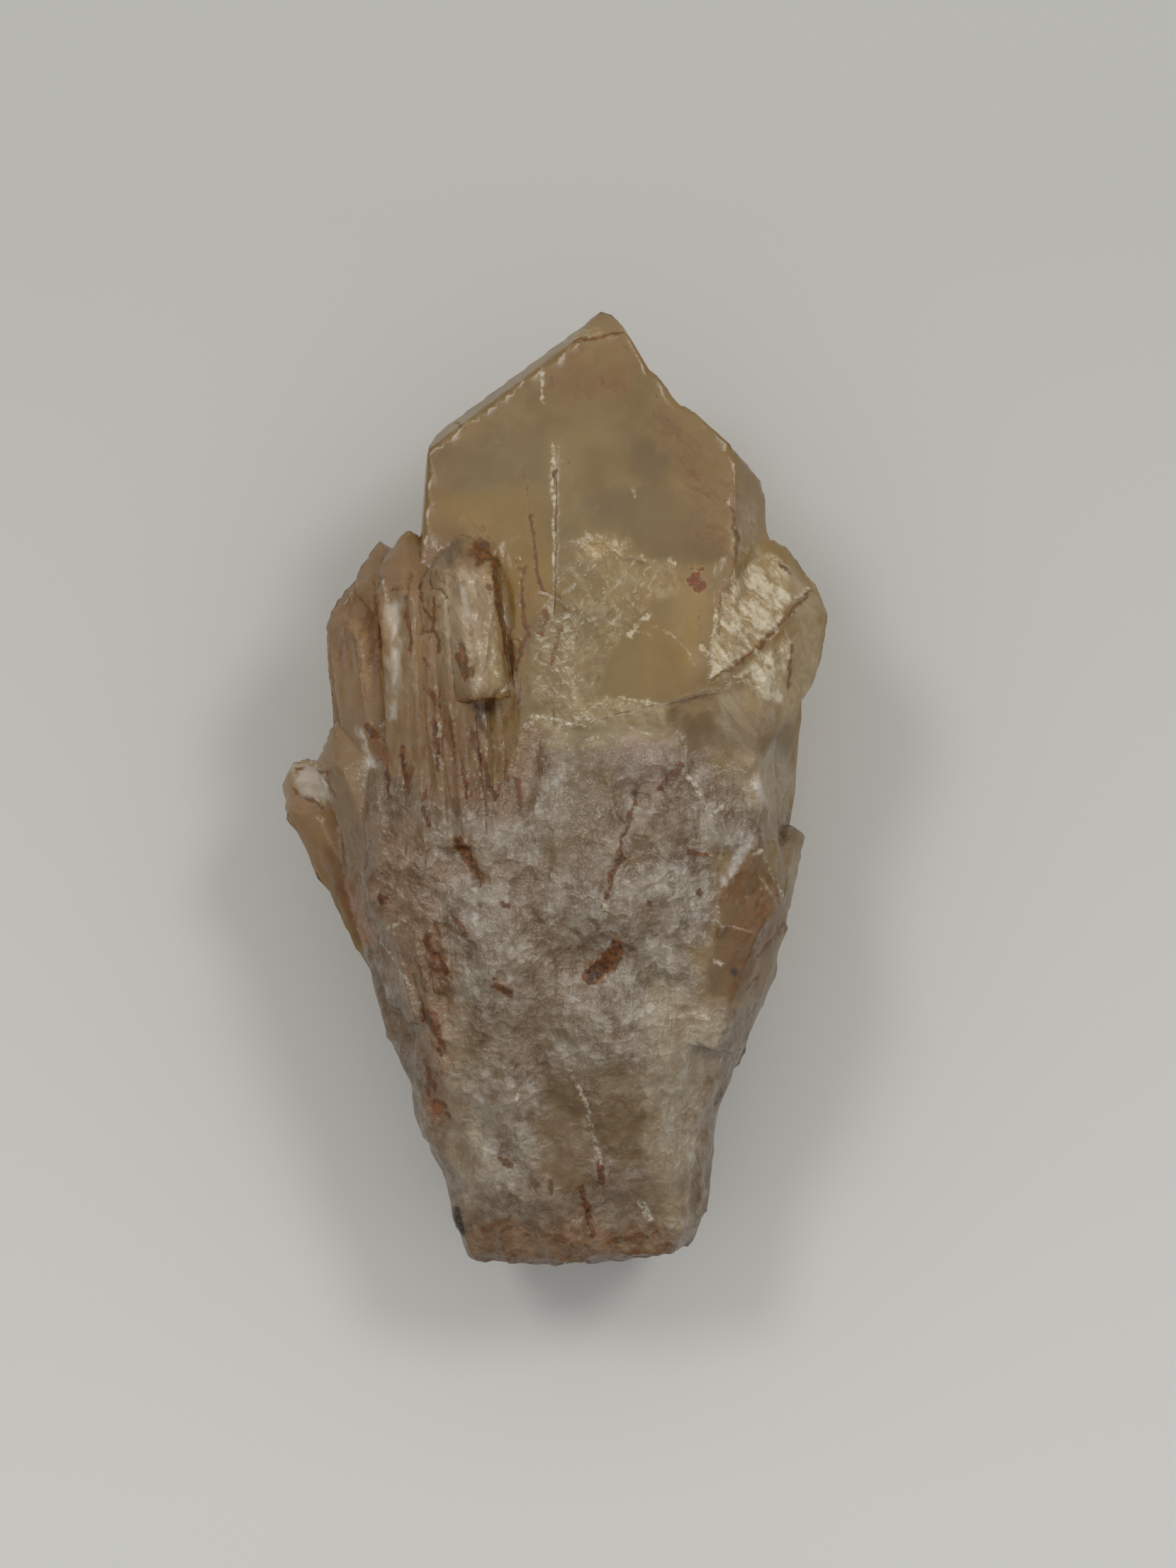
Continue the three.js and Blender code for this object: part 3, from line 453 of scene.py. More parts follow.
glint_marks += scatter(VEILS_AND_HIGHLIGHTS["front pair"][0], 16, 84, 8, 3, 0.1, 0.4)
glint_marks += scatter(COLUMNS, 18, 80, 20, 1.6, 0.14, 0.45)
WINDOW_RIBS, RIB_PITCH = 7, 1.4
for rib in range(WINDOW_RIBS):
    down = RIB_PITCH * rib
    glint_marks.append((4.6, -27.6 - down, 9.2, -27.9 - down, 0.12, 0.3))
# Painted sparkles on the frost, stored with the glints.
frost_glint_marks = [mark for outline in FROST.values() for mark in scatter(outline, 16, 70, 80, 0.8, 0.2, 0.45)]
dark_marks = [mark for zone in DARK.values() for mark in zone]
print("rust strokes:", len(rust_marks), "glints:", len(glint_marks))

# %% [markdown]
# ## A finer skin
# The marks are painted on the skin's points, so the points must be closest where the marks are: a
# third of a millimetre beside a mark, half a millimetre beside an edge, about one on the rest of the
# top, and wide underneath. Long edges are cut in half again and again, which keeps flat faces flat.
# Cutting thin slivers can pinch two folds of the skin together on one edge, so those edges are
# collapsed until every edge has just two faces.


# %% Cut the long edges
BESIDE_MARKS, BESIDE_EDGES = 0.32, 0.5
TOP_CRYSTAL, TOP_STEM, SIDES, UNDERSIDE = 1.4, 0.8, 1.4, 2.8
FACES_UP, MARKS_FROM = 0.3, 9  # how far a normal leans up, and the height where marks begin
SHARP = math.radians(9)
CUT_ROUNDS, CLOSE_ROUNDS = 7, 8


def nearness(points, marks):
    """Millimetres from each point to the nearest mark, and no more than 2."""
    gap = np.full(len(points), 2.0)
    for x0, y0, x1, y1, width, _ in marks:
        near = np.flatnonzero(
            (points[:, 0] > min(x0, x1) - 2) & (points[:, 0] < max(x0, x1) + 2)
            & (points[:, 1] > min(y0, y1) - 2) & (points[:, 1] < max(y0, y1) + 2)
        )
        start, run = np.array([x0, y0]), np.array([x1 - x0, y1 - y0])
        away = points[near] - start
        along = np.clip(away @ run / max(run @ run, 1e-6), 0, 1)
        gap[near] = np.minimum(gap[near], np.linalg.norm(away - along[:, None] * run, axis=1) - 0.4 * width)
    return np.maximum(gap, 0)


def is_sharp(edge):
    return edge.calc_face_angle(0) > SHARP and any(f[grown] for f in edge.link_faces)


def finest_lengths(mesh):
    """The longest edge wanted at each point, in millimetres."""
    mesh.verts.index_update()
    spots = np.array([v.co[:] for v in mesh.verts]) / MM
    up = np.array([v.normal.z for v in mesh.verts])
    on_stem = np.array([not any(f[grown] for f in v.link_faces) for v in mesh.verts])
    above = np.where(on_stem, TOP_STEM, TOP_CRYSTAL)
    wanted = np.where(up > FACES_UP, above, np.where(up > -FACES_UP, SIDES, UNDERSIDE))
    seen = np.flatnonzero((up > 0) & (spots[:, 2] > MARKS_FROM))
    gap = nearness(spots[seen, :2], all_marks)
    wanted[seen] = np.minimum(wanted[seen], BESIDE_MARKS + 1.5 * np.maximum(gap - 0.2, 0))
    for edge in mesh.edges:
        if is_sharp(edge):
            for v in edge.verts:
                wanted[v.index] = min(wanted[v.index], BESIDE_EDGES if up[v.index] > 0 else SIDES)
    return wanted


def triangles_only(mesh):
    wide = [f for f in mesh.faces if len(f.verts) > 3]
    bmesh.ops.triangulate(mesh, faces=wide, quad_method="SHORT_EDGE", ngon_method="BEAUTY")


all_marks = rust_marks + glint_marks + dark_marks + ORANGE + RED_SPOT
triangles_only(skin)
for step in range(CUT_ROUNDS):
    skin.normal_update()
    wanted = finest_lengths(skin)
    limits = [MM * (wanted[e.verts[0].index] + wanted[e.verts[1].index]) / 2 for e in skin.edges]
    long_edges = [e for e, limit in zip(skin.edges, limits) if e.calc_length() > limit]
    if len(long_edges) < 50:
        break
    bmesh.ops.subdivide_edges(skin, edges=long_edges, cuts=1)
    triangles_only(skin)
    print("cut", step, len(long_edges), "edges:", len(skin.faces), "faces")
for turn in range(CLOSE_ROUNDS):
    pinched = [e for e in skin.edges if len(e.link_faces) != 2]
    if not pinched:
        break
    bmesh.ops.collapse(skin, edges=pinched)
    bmesh.ops.dissolve_degenerate(skin, dist=MERGE / 20, edges=skin.edges)
    triangles_only(skin)
    print("closed up", len(pinched), "pinched edges")

# %% [markdown]
# ## The broken stem
# Real massive quartz breaks in small curved chips, and this stem also shows the flow of the many thin
# crystals it grew from, running up towards the tips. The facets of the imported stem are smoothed, then
# moved by a little noise: long along the stem for the flow, in small scoops for the chips.


# %% Roughen the stem
STEM_TURNS = 5


def smoothed(points, turns):
    """Moves points halfway to the middle of their neighbours, again and again."""
    for turn in range(turns):
        bmesh.ops.smooth_vert(
            skin, verts=list(points), factor=0.5, use_axis_x=True, use_axis_y=True, use_axis_z=True
        )


def chip_height(p):
    """Millimetres of relief at p: flow along Y, scooped chips with sharp ridges between, fine grain."""
    flow = noise.noise(Vector((p.x * 0.55, p.y * 0.11, p.z * 0.55)))
    lumps = noise.noise(Vector((p.x * 0.28 + 7, p.y * 0.22, p.z * 0.28)))
    cells = Vector((p.x * 0.42 + flow, p.y * 0.25 + lumps, p.z * 0.42))
    scoop = min(noise.voronoi(cells)[0][0], 1)
    grain = noise.fractal(p * 1.1, 0.7, 2.1, 4)
    return 0.24 * flow + 0.2 * lumps + 0.5 * (scoop * scoop - 0.25) + 0.09 * grain


sharp = [e for e in skin.edges if is_sharp(e)]
ridge_points = {v for e in sharp if e.is_convex for v in e.verts}
joint_points = {v for e in sharp if not e.is_convex for v in e.verts}
for face in skin.faces:
    face.smooth = True
for edge in sharp:
    edge.smooth = edge.is_convex
stem_points = [v for v in skin.verts if not any(f[grown] for f in v.link_faces)]
smoothed(stem_points, STEM_TURNS)
skin.normal_update()
moves = [v.normal * (chip_height(v.co / MM) * MM) for v in stem_points]
for point, move in zip(stem_points, moves):
    point.co += move
    point.co.z = max(point.co.z, 0.0)
print("stem points moved:", len(stem_points), "of", len(skin.verts))

# %% [markdown]
# Crystal edges are rounded by handling, by about a third of a millimetre, but the main tip stays as
# sharp as it is. The joints where crystals meet the stem are soft creases, since the quartz grew
# together there. On the lower front of the main crystal a growth step runs along Y, and here it is
# eased to a slope between its two levels.

# %% Round the edges and soften the joints
EDGE_TURNS, JOINT_TURNS, JOINT_RINGS = 3, 7, 3
TIP_RADIUS = 1.6  # millimetres around the tip that aren't rounded
STEP_LEFT, STEP_RIGHT, STEP_LOW, STEP_HIGH = -1.2, 2.2, 5.5, 19
STEP_ABOVE, STEP_FADE = 30, 1.5  # the step's least height, and how far the slope fades out at its ends
corners = {v for v in ridge_points if sum(is_sharp(e) for e in v.link_edges) > 2}
tip = max(skin.verts, key=lambda v: v.co.y)
outer_joints = {v for v in joint_points if v.co.x > -3.2 * MM or v.co.y < 5 * MM}
for edge in sharp:
    if all(v in outer_joints for v in edge.verts):
        edge.smooth = True
near_tip = {v for v in ridge_points if (v.co - tip.co).length < TIP_RADIUS * MM}
rounded = list((ridge_points - joint_points - near_tip) | outer_joints)
smoothed([v for v in rounded if v not in corners], EDGE_TURNS - 1)
smoothed(rounded, 1)
before = BVHTree.FromBMesh(skin)


def height_at(x, y):
    """The top of the skin over a place, before the slope was made."""
    return before.ray_cast(Vector((x, y, 60)) * MM, Vector((0, 0, -1)))[0].z


for v in skin.verts:
    x, y, z = v.co / MM
    if STEP_LEFT < x < STEP_RIGHT and STEP_LOW < y < STEP_HIGH and z > STEP_ABOVE:
        low_side, high_side = height_at(STEP_LEFT, y), height_at(STEP_RIGHT, y)
        slope = low_side + (high_side - low_side) * (x - STEP_LEFT) / (STEP_RIGHT - STEP_LEFT)
        v.co.z += (slope - v.co.z) * min(1, (y - STEP_LOW) / STEP_FADE, (STEP_HIGH - y) / STEP_FADE)
beside_joints = {v for v in outer_joints if v.co.x > -16 * MM}
for ring in range(JOINT_RINGS):
    beside_joints |= {e.other_vert(v) for v in beside_joints for e in v.link_edges}
smoothed(beside_joints, JOINT_TURNS)
print("rounded points:", len(rounded), "joint points:", len(beside_joints))

# %% [markdown]
# Crystal faces aren't perfect planes either: they wave a little where growth layers end, most on the
# worn crystals, and the left group is ribbed along its length. That is enough to break up the light
# on them.

# %% Wave the crystal faces
WORN_WAVE, FRESH_WAVE, RIB_DEPTH = 0.2, 0.02, 0.4
crystal_points = [v for v in skin.verts if any(f[grown] for f in v.link_faces)]
skin.normal_update()
waves = []
for v in crystal_points:
    p = v.co / MM
    worn = p.x < -3.2 and p.y < 24 or p.y < 8 or p.x > 16 and p.y < 23
    growth = noise.fractal(Vector((p.x * 0.4, p.y * 0.22, p.z * 0.4)), 0.8, 2.0, 3)
    wave = (WORN_WAVE if worn else FRESH_WAVE) * growth
    if p.x < -3.2 and -3 < p.y < 24 and v not in ridge_points:
        rib = noise.noise(Vector((p.x * 0.7 + 0.05 * p.y, p.y * 0.09, p.z * 0.35)))
        wave += RIB_DEPTH * (0.4 - abs(rib)) * min(1, (p.y + 3) / 6)
    waves.append(v.normal * (wave * MM) if p.z > 0.3 else Vector())
for point, wave in zip(crystal_points, waves):
    point.co += wave
skin.normal_update()
print("waved points:", len(crystal_points))
print("open edges:", sum(len(e.link_faces) != 2 for e in skin.edges))
print("points without a direction:", sum(v.normal.length < 0.5 for v in skin.verts))

# %% The specimen as a piece
skin.verts.index_update()
edge_glow, joints = np.zeros(len(skin.verts)), np.zeros(len(skin.verts))
glowing = [v.index for v in ridge_points - joint_points if v.co.x > 15 * MM or v.co.y < 24 * MM]
edge_glow[glowing] = 1
joints[[v.index for v in joint_points]] = 1
mesh = bpy.data.meshes.new("citrine_specimen")
skin.to_mesh(mesh)
skin.free()
specimen = bpy.data.objects.new("citrine_specimen", mesh)
bpy.context.scene.collection.objects.link(specimen)
print("specimen:", len(mesh.vertices), "points,", len(mesh.polygons), "triangles")

# %% [markdown]
# ## Layers painted on the skin
# The marks become layers, one number a point: how milky, how veiled, how rusty, how dark. The
# material later turns those numbers into colour, clearness and roughness, and breaks their borders up
# with fine noise. The noise has a seed, so that the marks bend the same way in each run.

# %% Points and the noise that bends the marks
NOISE_SEED = 3
noise.seed_set(NOISE_SEED)
count = len(mesh.vertices)
place = np.empty(count * 3)
mesh.vertices.foreach_get("co", place)
place = place.reshape(-1, 3) / MM
facing = np.empty(count * 3)
mesh.vertices.foreach_get("normal", facing)
facing = facing.reshape(-1, 3)
bend = np.array([noise.noise_vector(Vector(p) * 0.9)[:] for p in place])
bend += 0.6 * np.array([noise.noise_vector(Vector(p) * 2.6)[:] for p in place])
cloud = np.array([noise.fractal(Vector(p) * 0.16, 0.8, 2.0, 4) for p in place])
flat = place[:, :2] + 0.13 * bend[:, :2]


def ease(value, low, high):
    """0 below low, 1 above high and a soft step between."""
    t = np.clip((value - low) / (high - low), 0, 1)
    return t * t * (3 - 2 * t)


on_top = ease(facing[:, 2], -0.05, 0.15) * ease(place[:, 2], 9, 13)
print("points on top:", int((on_top > 0.5).sum()))


# %% Strokes and patches
def strokes(marks, wander=0.0):
    """Lines and dots: x, y of both ends, width and strength, the strongest mark winning."""
    painted = np.zeros(count)
    points = flat + wander * bend[:, :2]
    for x0, y0, x1, y1, width, strength in marks:
        reach = 0.55 * width + 0.2
        near = np.flatnonzero(
            (points[:, 0] > min(x0, x1) - reach) & (points[:, 0] < max(x0, x1) + reach)
            & (points[:, 1] > min(y0, y1) - reach) & (points[:, 1] < max(y0, y1) + reach)
        )
        start, run = np.array([x0, y0]), np.array([x1 - x0, y1 - y0])
        away = points[near] - start
        along = np.clip(away @ run / max(run @ run, 1e-6), 0, 1)
        gap = np.linalg.norm(away - along[:, None] * run, axis=1)
        painted[near] = np.maximum(painted[near], strength * (1 - ease(gap, 0.35 * reach, reach)))
    return painted * on_top


def patch(corners, soft=0.8, warp=1.0):
    """1 inside a polygon, 0 outside, with a border that is soft millimetres wide."""
    points = place[:, :2] + warp * 0.8 * bend[:, :2]
    gap = np.full(count, 1e9)
    for (x0, y0), (x1, y1) in zip(corners, corners[1:] + corners[:1]):
        start, run = np.array([x0, y0]), np.array([x1 - x0, y1 - y0])
        away = points - start
        along = np.clip(away @ run / (run @ run), 0, 1)
        gap = np.minimum(gap, np.linalg.norm(away - along[:, None] * run, axis=1))
    return ease(np.where(inside(corners, points), gap, -gap), -soft, soft) * on_top


def patches(zones, soft, warp):
    """The strongest of several outlines, each with its own strength or 1."""
    zones = [zone if isinstance(zone, tuple) else (zone, 1) for zone in zones.values()]
    return np.max([strength * patch(corners, soft, warp) for corners, strength in zones], axis=0)


# %% [markdown]
# ## Stains, milkiness, warm zones and painted light
# The stem is milky and the crystals clear up towards their tips, as they do where quartz grew slowly
# last. Rust also lies in the joints between crystals, thinly on the hidden sides, and on the broken
# base. A faint painted shade in a rust colour darkens the main crystal towards its rim.

# %% Paint the layers
is_grown = np.zeros(count, bool)
corner_points = np.empty(len(mesh.loops), int)
mesh.loops.foreach_get("vertex_index", corner_points)
face_kind = np.empty(len(mesh.polygons), int)
mesh.attributes["grown"].data.foreach_get("value", face_kind)
is_grown[corner_points[np.repeat(face_kind == 1, 3)]] = True
x, y, z = place.T
ends = np.empty(len(mesh.edges) * 2, int)
mesh.edges.foreach_get("vertices", ends)
ends = np.concatenate([ends.reshape(-1, 2), ends.reshape(-1, 2)[:, ::-1]])
neighbours = np.bincount(ends[:, 0], minlength=count)


def spread_out(values, turns):
    """Lets a layer run into its surroundings, as ink does on wet paper."""
    for turn in range(turns):
        around = np.bincount(ends[:, 0], weights=values[ends[:, 1]], minlength=count) / neighbours
        values = 0.5 * values + 0.5 * around
    return values


hidden_rust = ease(cloud, 0.15, 0.7) * (1 - on_top) * ease(-y, -16, 30)
iron = np.maximum(strokes(rust_marks, 0.2), 0.45 * hidden_rust)
iron = np.maximum(iron, 0.55 * ease(-y, 44.2, 47.5))
joints *= ease(30 - y, 0, 4) * ease(-x, 1, 4) * ease(y, 0, 4)
iron = np.maximum(iron, (0.55 + 0.5 * cloud) * joints)
veil_and_highlight = patches(VEILS_AND_HIGHLIGHTS, 0.35, 0.5)
frost = patches(FROST, 1.6, 1.6)
window = patches(WINDOWS, 1.0, 1.4)
# Painted shade: the main crystal darkens in a brown rust colour towards its rim.
rim = [(2.4, 45), (6, 43.4), (16.5, 28.3), (17, 22), (-3, 18), (-10.8, 25), (-10.4, 32)]
rim = 0.4 * (1 - patch(rim, 2.2, 0.6)) * ease(x, -14, -12) * ease(y, 21, 27)
film_and_rim_shade = np.maximum.reduce([
    patches(FILMS, 1.3, 1.2), patches(STAINS, 0.5, 1.4), 0.5 * hidden_rust, rim,
])
painted_highlight = patches(PAINTED_HIGHLIGHTS, 0.22, 0.25)
pale = patches(PALE, 1.2, 1.0)
shade = patches(SHADES, 0.5, 0.4)
left_group = ease(-x, 3.2, 5.2) * ease(y, 2, 9)
rosy = ease(-x, 5, 8) * ease(26 - y, 0, 3) * ease(y, -16, -6)
milk = np.where(is_grown, 0.14, 0.85)
milk = np.maximum(milk, 0.25 * left_group + 0.3 * ease(10 - y, 0, 9))
clear_low = np.maximum(ease(-x, 17, 19), ease(x, 14, 16) * ease(-y, 4, 6) * ease(y, -21, -19))
milk = np.maximum(milk, 0.85 * ease(5 + 5 * cloud - y, -2, 8) * (1 - clear_low))
milk = spread_out(milk, 30) * (1 - 0.4 * window)
milk = np.clip(milk + 0.15 * cloud, 0.05, 1) * (1 - 0.5 * ease(y, 18, 30))
mauve = patch([(5.5, 6.1), (10.4, 5.8), (12.5, 2.6), (10.7, 0.2), (7.3, -0.1), (5.4, 1.6)], 0.8)
# Painted light: brighter yellow patches where light glows back from inside the main crystal.
yellow = patch(
    [(-12.5, 29), (-2.4, 29.7), (0, 24.1), (0, 18.9), (-2.1, 17.2), (-3.5, 15.1), (-5.6, 22.7), (-8.3, 25.5)],
    0.9, 0.5,
)
yellow = np.maximum(yellow, 0.8 * patch([(5, 15), (8, 17), (12.6, 17), (14.5, 13), (12, 8.6), (6, 9.6)], 1.4))

# %% Store the layers
# The glint and edge layers hold painted highlights.
LAYERS = {
    "iron": iron, "veil_and_highlight": veil_and_highlight, "frost": frost, "window": window, "film_and_rim_shade": film_and_rim_shade, "painted_highlight": painted_highlight,
    "pale": pale, "shade": shade, "milk": milk, "rosy": rosy, "mauve": mauve, "yellow": yellow,
    "orange": strokes(ORANGE), "red": strokes(RED_SPOT), "dark": strokes(dark_marks),
    "glint": strokes(glint_marks + frost_glint_marks, 0.1), "edge": edge_glow,
}
for name, values in LAYERS.items():
    stored = mesh.attributes.new(name, "FLOAT", "POINT")
    stored.data.foreach_set("value", np.clip(values, 0, 1).astype(np.float32))
    print(name, "mean", round(float(values.mean()), 3))

# %% [markdown]
# ## The citrine material
# One shader makes the whole specimen: quartz bends light by 1.54, so that is its IOR. Clear quartz
# passes light and the smoky yellow is in its body, so it comes from a volume that absorbs blue most.
# Milky, rusty and veiled places pass less light and scatter it at the skin, so their layers lower the
# transmission and raise the roughness.

# %% A short way to write nodes
quartz = bpy.data.materials.new("citrine_quartz")
quartz.use_nodes = True
tree = quartz.node_tree
tree.nodes.clear()


def node(kind, **settings):
    """A new shader node with its settings."""
    made = tree.nodes.new("ShaderNode" + kind)
    for key, value in settings.items():
        setattr(made, key, value)
    return made


def feed(socket, value):
    """Links an output to a socket, or sets the socket to a number or colour."""
    if isinstance(value, bpy.types.NodeSocket):
        tree.links.new(value, socket)
    else:
        socket.default_value = value


def layer(name):
    """A painted layer, read back from the skin's points."""
    return node("Attribute", attribute_name=name).outputs["Fac"]


def maths(operation, a, b=0.0, c=0.0, clamp=False):
    made = node("Math", operation=operation, use_clamp=clamp)
    for socket, value in zip(made.inputs, (a, b, c)):
        feed(socket, value)
    return made.outputs[0]


def blend(fac, under, over):
    made = node("Mix", data_type="RGBA", clamp_factor=True)
    feed(made.inputs["Factor"], fac)
    feed(made.inputs[6], under)
    feed(made.inputs[7], over)
    return made.outputs[2]


def step_up(value, low, high):
    """0 at low, 1 at high and a soft step between, either way round."""
    made = node("MapRange", interpolation_type="SMOOTHSTEP")
    for key, v in (("Value", value), ("From Min", low), ("From Max", high)):
        feed(made.inputs[key], v)
    return made.outputs[0]


def tone(red, green, blue):
    """A colour given as 0 to 255 on a screen, in the linear numbers that shaders use."""
    return tuple((c / 255) ** 2.2 for c in (red, green, blue)) + (1.0,)


# %% Noises in millimetres
where = node("TexCoord").outputs["Object"]
in_mm = node("Mapping")
feed(in_mm.inputs["Vector"], where)
in_mm.inputs["Scale"].default_value = (1 / MM, 1 / MM, 1 / MM)
along_stem = node("Mapping")
feed(along_stem.inputs["Vector"], where)
along_stem.inputs["Scale"].default_value = (1 / MM, 0.32 / MM, 1 / MM)


def cloudy(scale, detail=6, rough=0.55, distortion=0.0, vector=None):
    made = node("TexNoise")
    feed(made.inputs["Vector"], vector or in_mm.outputs[0])
    for key, value in (("Scale", scale), ("Detail", detail), ("Roughness", rough), ("Distortion", distortion)):
        made.inputs[key].default_value = value
    return made.outputs["Fac"]


across = node("SeparateXYZ")
feed(across.inputs[0], in_mm.outputs[0])
across = across.outputs["X"]
broad = cloudy(0.14, 2)
mottle = cloudy(0.42, 5, 0.6)
flow = cloudy(0.75, 4, 0.65, 0.0, along_stem.outputs[0])
specks = cloudy(1.9, 3, 0.65)
shake = node("TexNoise")
feed(shake.inputs["Vector"], in_mm.outputs[0])
shake.inputs["Scale"].default_value, shake.inputs["Detail"].default_value = 0.9, 2.0
shaken = node("VectorMath", operation="MULTIPLY_ADD")
feed(shaken.inputs[0], shake.outputs["Color"])
shaken.inputs[1].default_value = (1.6, 1.6, 1.6)
feed(shaken.inputs[2], in_mm.outputs[0])
chips = node("TexVoronoi")
feed(chips.inputs["Vector"], shaken.outputs[0])
chips.inputs["Scale"].default_value = 0.95
chip_tone = node("SeparateColor")
feed(chip_tone.inputs[0], chips.outputs["Color"])
fibres = node("Mapping", vector_type="TEXTURE")
feed(fibres.inputs["Vector"], where)
fibres.inputs["Rotation"].default_value = (0, 0, math.radians(38))
fibres.inputs["Scale"].default_value = (0.8 * MM, 2.2 * MM, MM)
wrinkles = cloudy(0.8, 5, 0.62, 0.7, fibres.outputs[0])
wisp_noise = cloudy(0.42, 4, 0.6, 1.4, along_stem.outputs[0])

# %% [markdown]
# ## Colour, from the body outwards
# The body colour is a smoky olive yellow, with some yellow patches of painted light. Over it come the
# milky stem with its frost, the mauve zone, the veils and a painted highlight on one rim, painted shade,
# the rust, the dark grains with painted shade in one gap, and last the painted glints and highlights,
# each let through by its own layer with its border torn by the noises.

# %% Layers with torn borders
ragged = step_up(specks, 0.36, 0.64)
patchy = step_up(mottle, 0.36, 0.64)
silk = step_up(wrinkles, 0.36, 0.68)
iron_mask = step_up(maths("MULTIPLY", layer("iron"), maths("MULTIPLY_ADD", ragged, 0.6, 0.7)), 0.15, 0.75)
film_and_rim_shade_mask = maths("MULTIPLY", layer("film_and_rim_shade"), maths("MULTIPLY_ADD", patchy, 0.7, 0.45), clamp=True)
veil_and_highlight_mask = maths("MULTIPLY", layer("veil_and_highlight"), maths("MULTIPLY_ADD", silk, 0.7, 0.55), clamp=True)
milk_mask = step_up(maths("MULTIPLY_ADD", mottle, 0.7, layer("milk")), 0.45, 1.15)
frost_base = maths("MULTIPLY_ADD", flow, 0.4, maths("MULTIPLY", mottle, 0.6))
frost_base = maths("MULTIPLY_ADD", layer("frost"), 0.16, frost_base)
frost_mask = maths("MULTIPLY", step_up(frost_base, 0.46, 0.78), layer("milk"), clamp=True)
white_chips = step_up(chip_tone.outputs[0], 0.77, 0.85)
flakes = maths("MULTIPLY", white_chips, step_up(chips.outputs["Distance"], 0.8, 0.4))
flakes = maths("MULTIPLY", flakes, maths("MULTIPLY_ADD", frost_mask, 0.7, 0.2))
flakes = maths("MULTIPLY", flakes, maths("MULTIPLY", layer("milk"), maths("MULTIPLY_ADD", ragged, 0.4, 0.6)))
hollows = maths("MULTIPLY", step_up(chip_tone.outputs[0], 0.3, 0.05), maths("MULTIPLY", milk_mask, 0.35))
glint_mask = step_up(maths("MULTIPLY", layer("glint"), maths("MULTIPLY_ADD", ragged, 0.9, 0.4)), 0.12, 1.05)
from_middle = maths("ABSOLUTE", maths("SUBTRACT", wisp_noise, 0.5))
wisps = maths("MULTIPLY", step_up(from_middle, 0.05, 0.0), maths("MULTIPLY_ADD", frost_mask, 0.6, 0.3))
wisps = maths("MULTIPLY", wisps, maths("MULTIPLY", milk_mask, maths("MULTIPLY_ADD", ragged, 0.7, 0.3)))
# Painted highlight along the rounded crystal edges.
edge_highlight_mask = maths("MULTIPLY", layer("edge"), maths("MULTIPLY_ADD", ragged, 0.7, patchy))
edge_highlight_mask = maths("MULTIPLY", step_up(edge_highlight_mask, 0.6, 1.5), 0.25)
shine = maths("MAXIMUM", glint_mask, edge_highlight_mask, clamp=True)

# %% Body colour
olive = blend(step_up(broad, 0.35, 0.65), tone(198, 164, 102), tone(222, 188, 122))
olive = blend(maths("MULTIPLY", patchy, 0.35), olive, tone(228, 196, 136))
body = blend(maths("MULTIPLY", layer("rosy"), 0.75), olive, tone(216, 176, 134))
# Painted light: the yellow patches inside the main crystal.
body = blend(maths("MULTIPLY", layer("yellow"), 0.6), body, tone(232, 190, 104))
stem_ground = blend(patchy, tone(124, 99, 74), tone(166, 143, 118))
stem_ground = blend(step_up(flow, 0.42, 0.66), stem_ground, tone(146, 122, 96))
body = blend(milk_mask, body, stem_ground)
body = blend(maths("MULTIPLY", layer("window"), 0.7), body, tone(150, 124, 94))
body = blend(maths("MULTIPLY", layer("mauve"), 0.3), body, tone(198, 168, 158))
body = blend(maths("MULTIPLY", frost_mask, 0.55), body, tone(196, 188, 172))
body = blend(hollows, body, tone(116, 96, 72))
body = blend(maths("MULTIPLY", wisps, 0.5), body, tone(224, 218, 204))
body = blend(maths("MULTIPLY", flakes, 0.8), body, tone(232, 226, 214))
warm_silk = blend(silk, tone(192, 154, 98), tone(248, 226, 172))
pale_silk = blend(silk, tone(206, 178, 134), tone(252, 240, 212))
silk_is_pale = maths("MAXIMUM", layer("rosy"), step_up(across, 15, 17))
# Veils in silk colours, and the painted highlight on the main crystal's left rim.
body = blend(veil_and_highlight_mask, body, blend(silk_is_pale, warm_silk, pale_silk))
# Painted shade, in a dark olive brown.
body = blend(maths("MULTIPLY", layer("shade"), 0.75), body, tone(120, 102, 76))

# %% Stains, grains, painted shade, painted glints and painted highlights over it
body = blend(maths("MULTIPLY", layer("pale"), 0.7), body, tone(240, 218, 178))
# Rust films and stains, with the painted shade along the main crystal's rim.
body = blend(maths("MULTIPLY", film_and_rim_shade_mask, 0.8), body, tone(156, 106, 56))
rust = blend(ragged, tone(54, 28, 8), tone(134, 80, 30))
body = blend(maths("MULTIPLY", iron_mask, 0.9), body, rust)
body = blend(maths("MULTIPLY", layer("orange"), 0.7), body, tone(184, 116, 68))
red_mask = step_up(maths("MULTIPLY", layer("red"), maths("MULTIPLY_ADD", ragged, 0.8, 0.5)), 0.15, 0.6)
body = blend(maths("MULTIPLY", red_mask, 0.9), body, blend(ragged, tone(104, 46, 22), tone(150, 76, 40)))
# Dark grains and smoky facets, and painted shade in the gap under the front pair.
body = blend(maths("MULTIPLY", layer("dark"), 0.9), body, tone(56, 48, 42))
body = blend(maths("MULTIPLY", shine, 0.75), body, tone(250, 240, 212))
# Painted highlight: near-white colour on the faces that mirror the window.
painted_highlight_mask = maths("MULTIPLY", layer("painted_highlight"), maths("MULTIPLY_ADD", patchy, 0.35, 0.6))
body = blend(painted_highlight_mask, body, tone(252, 244, 232))

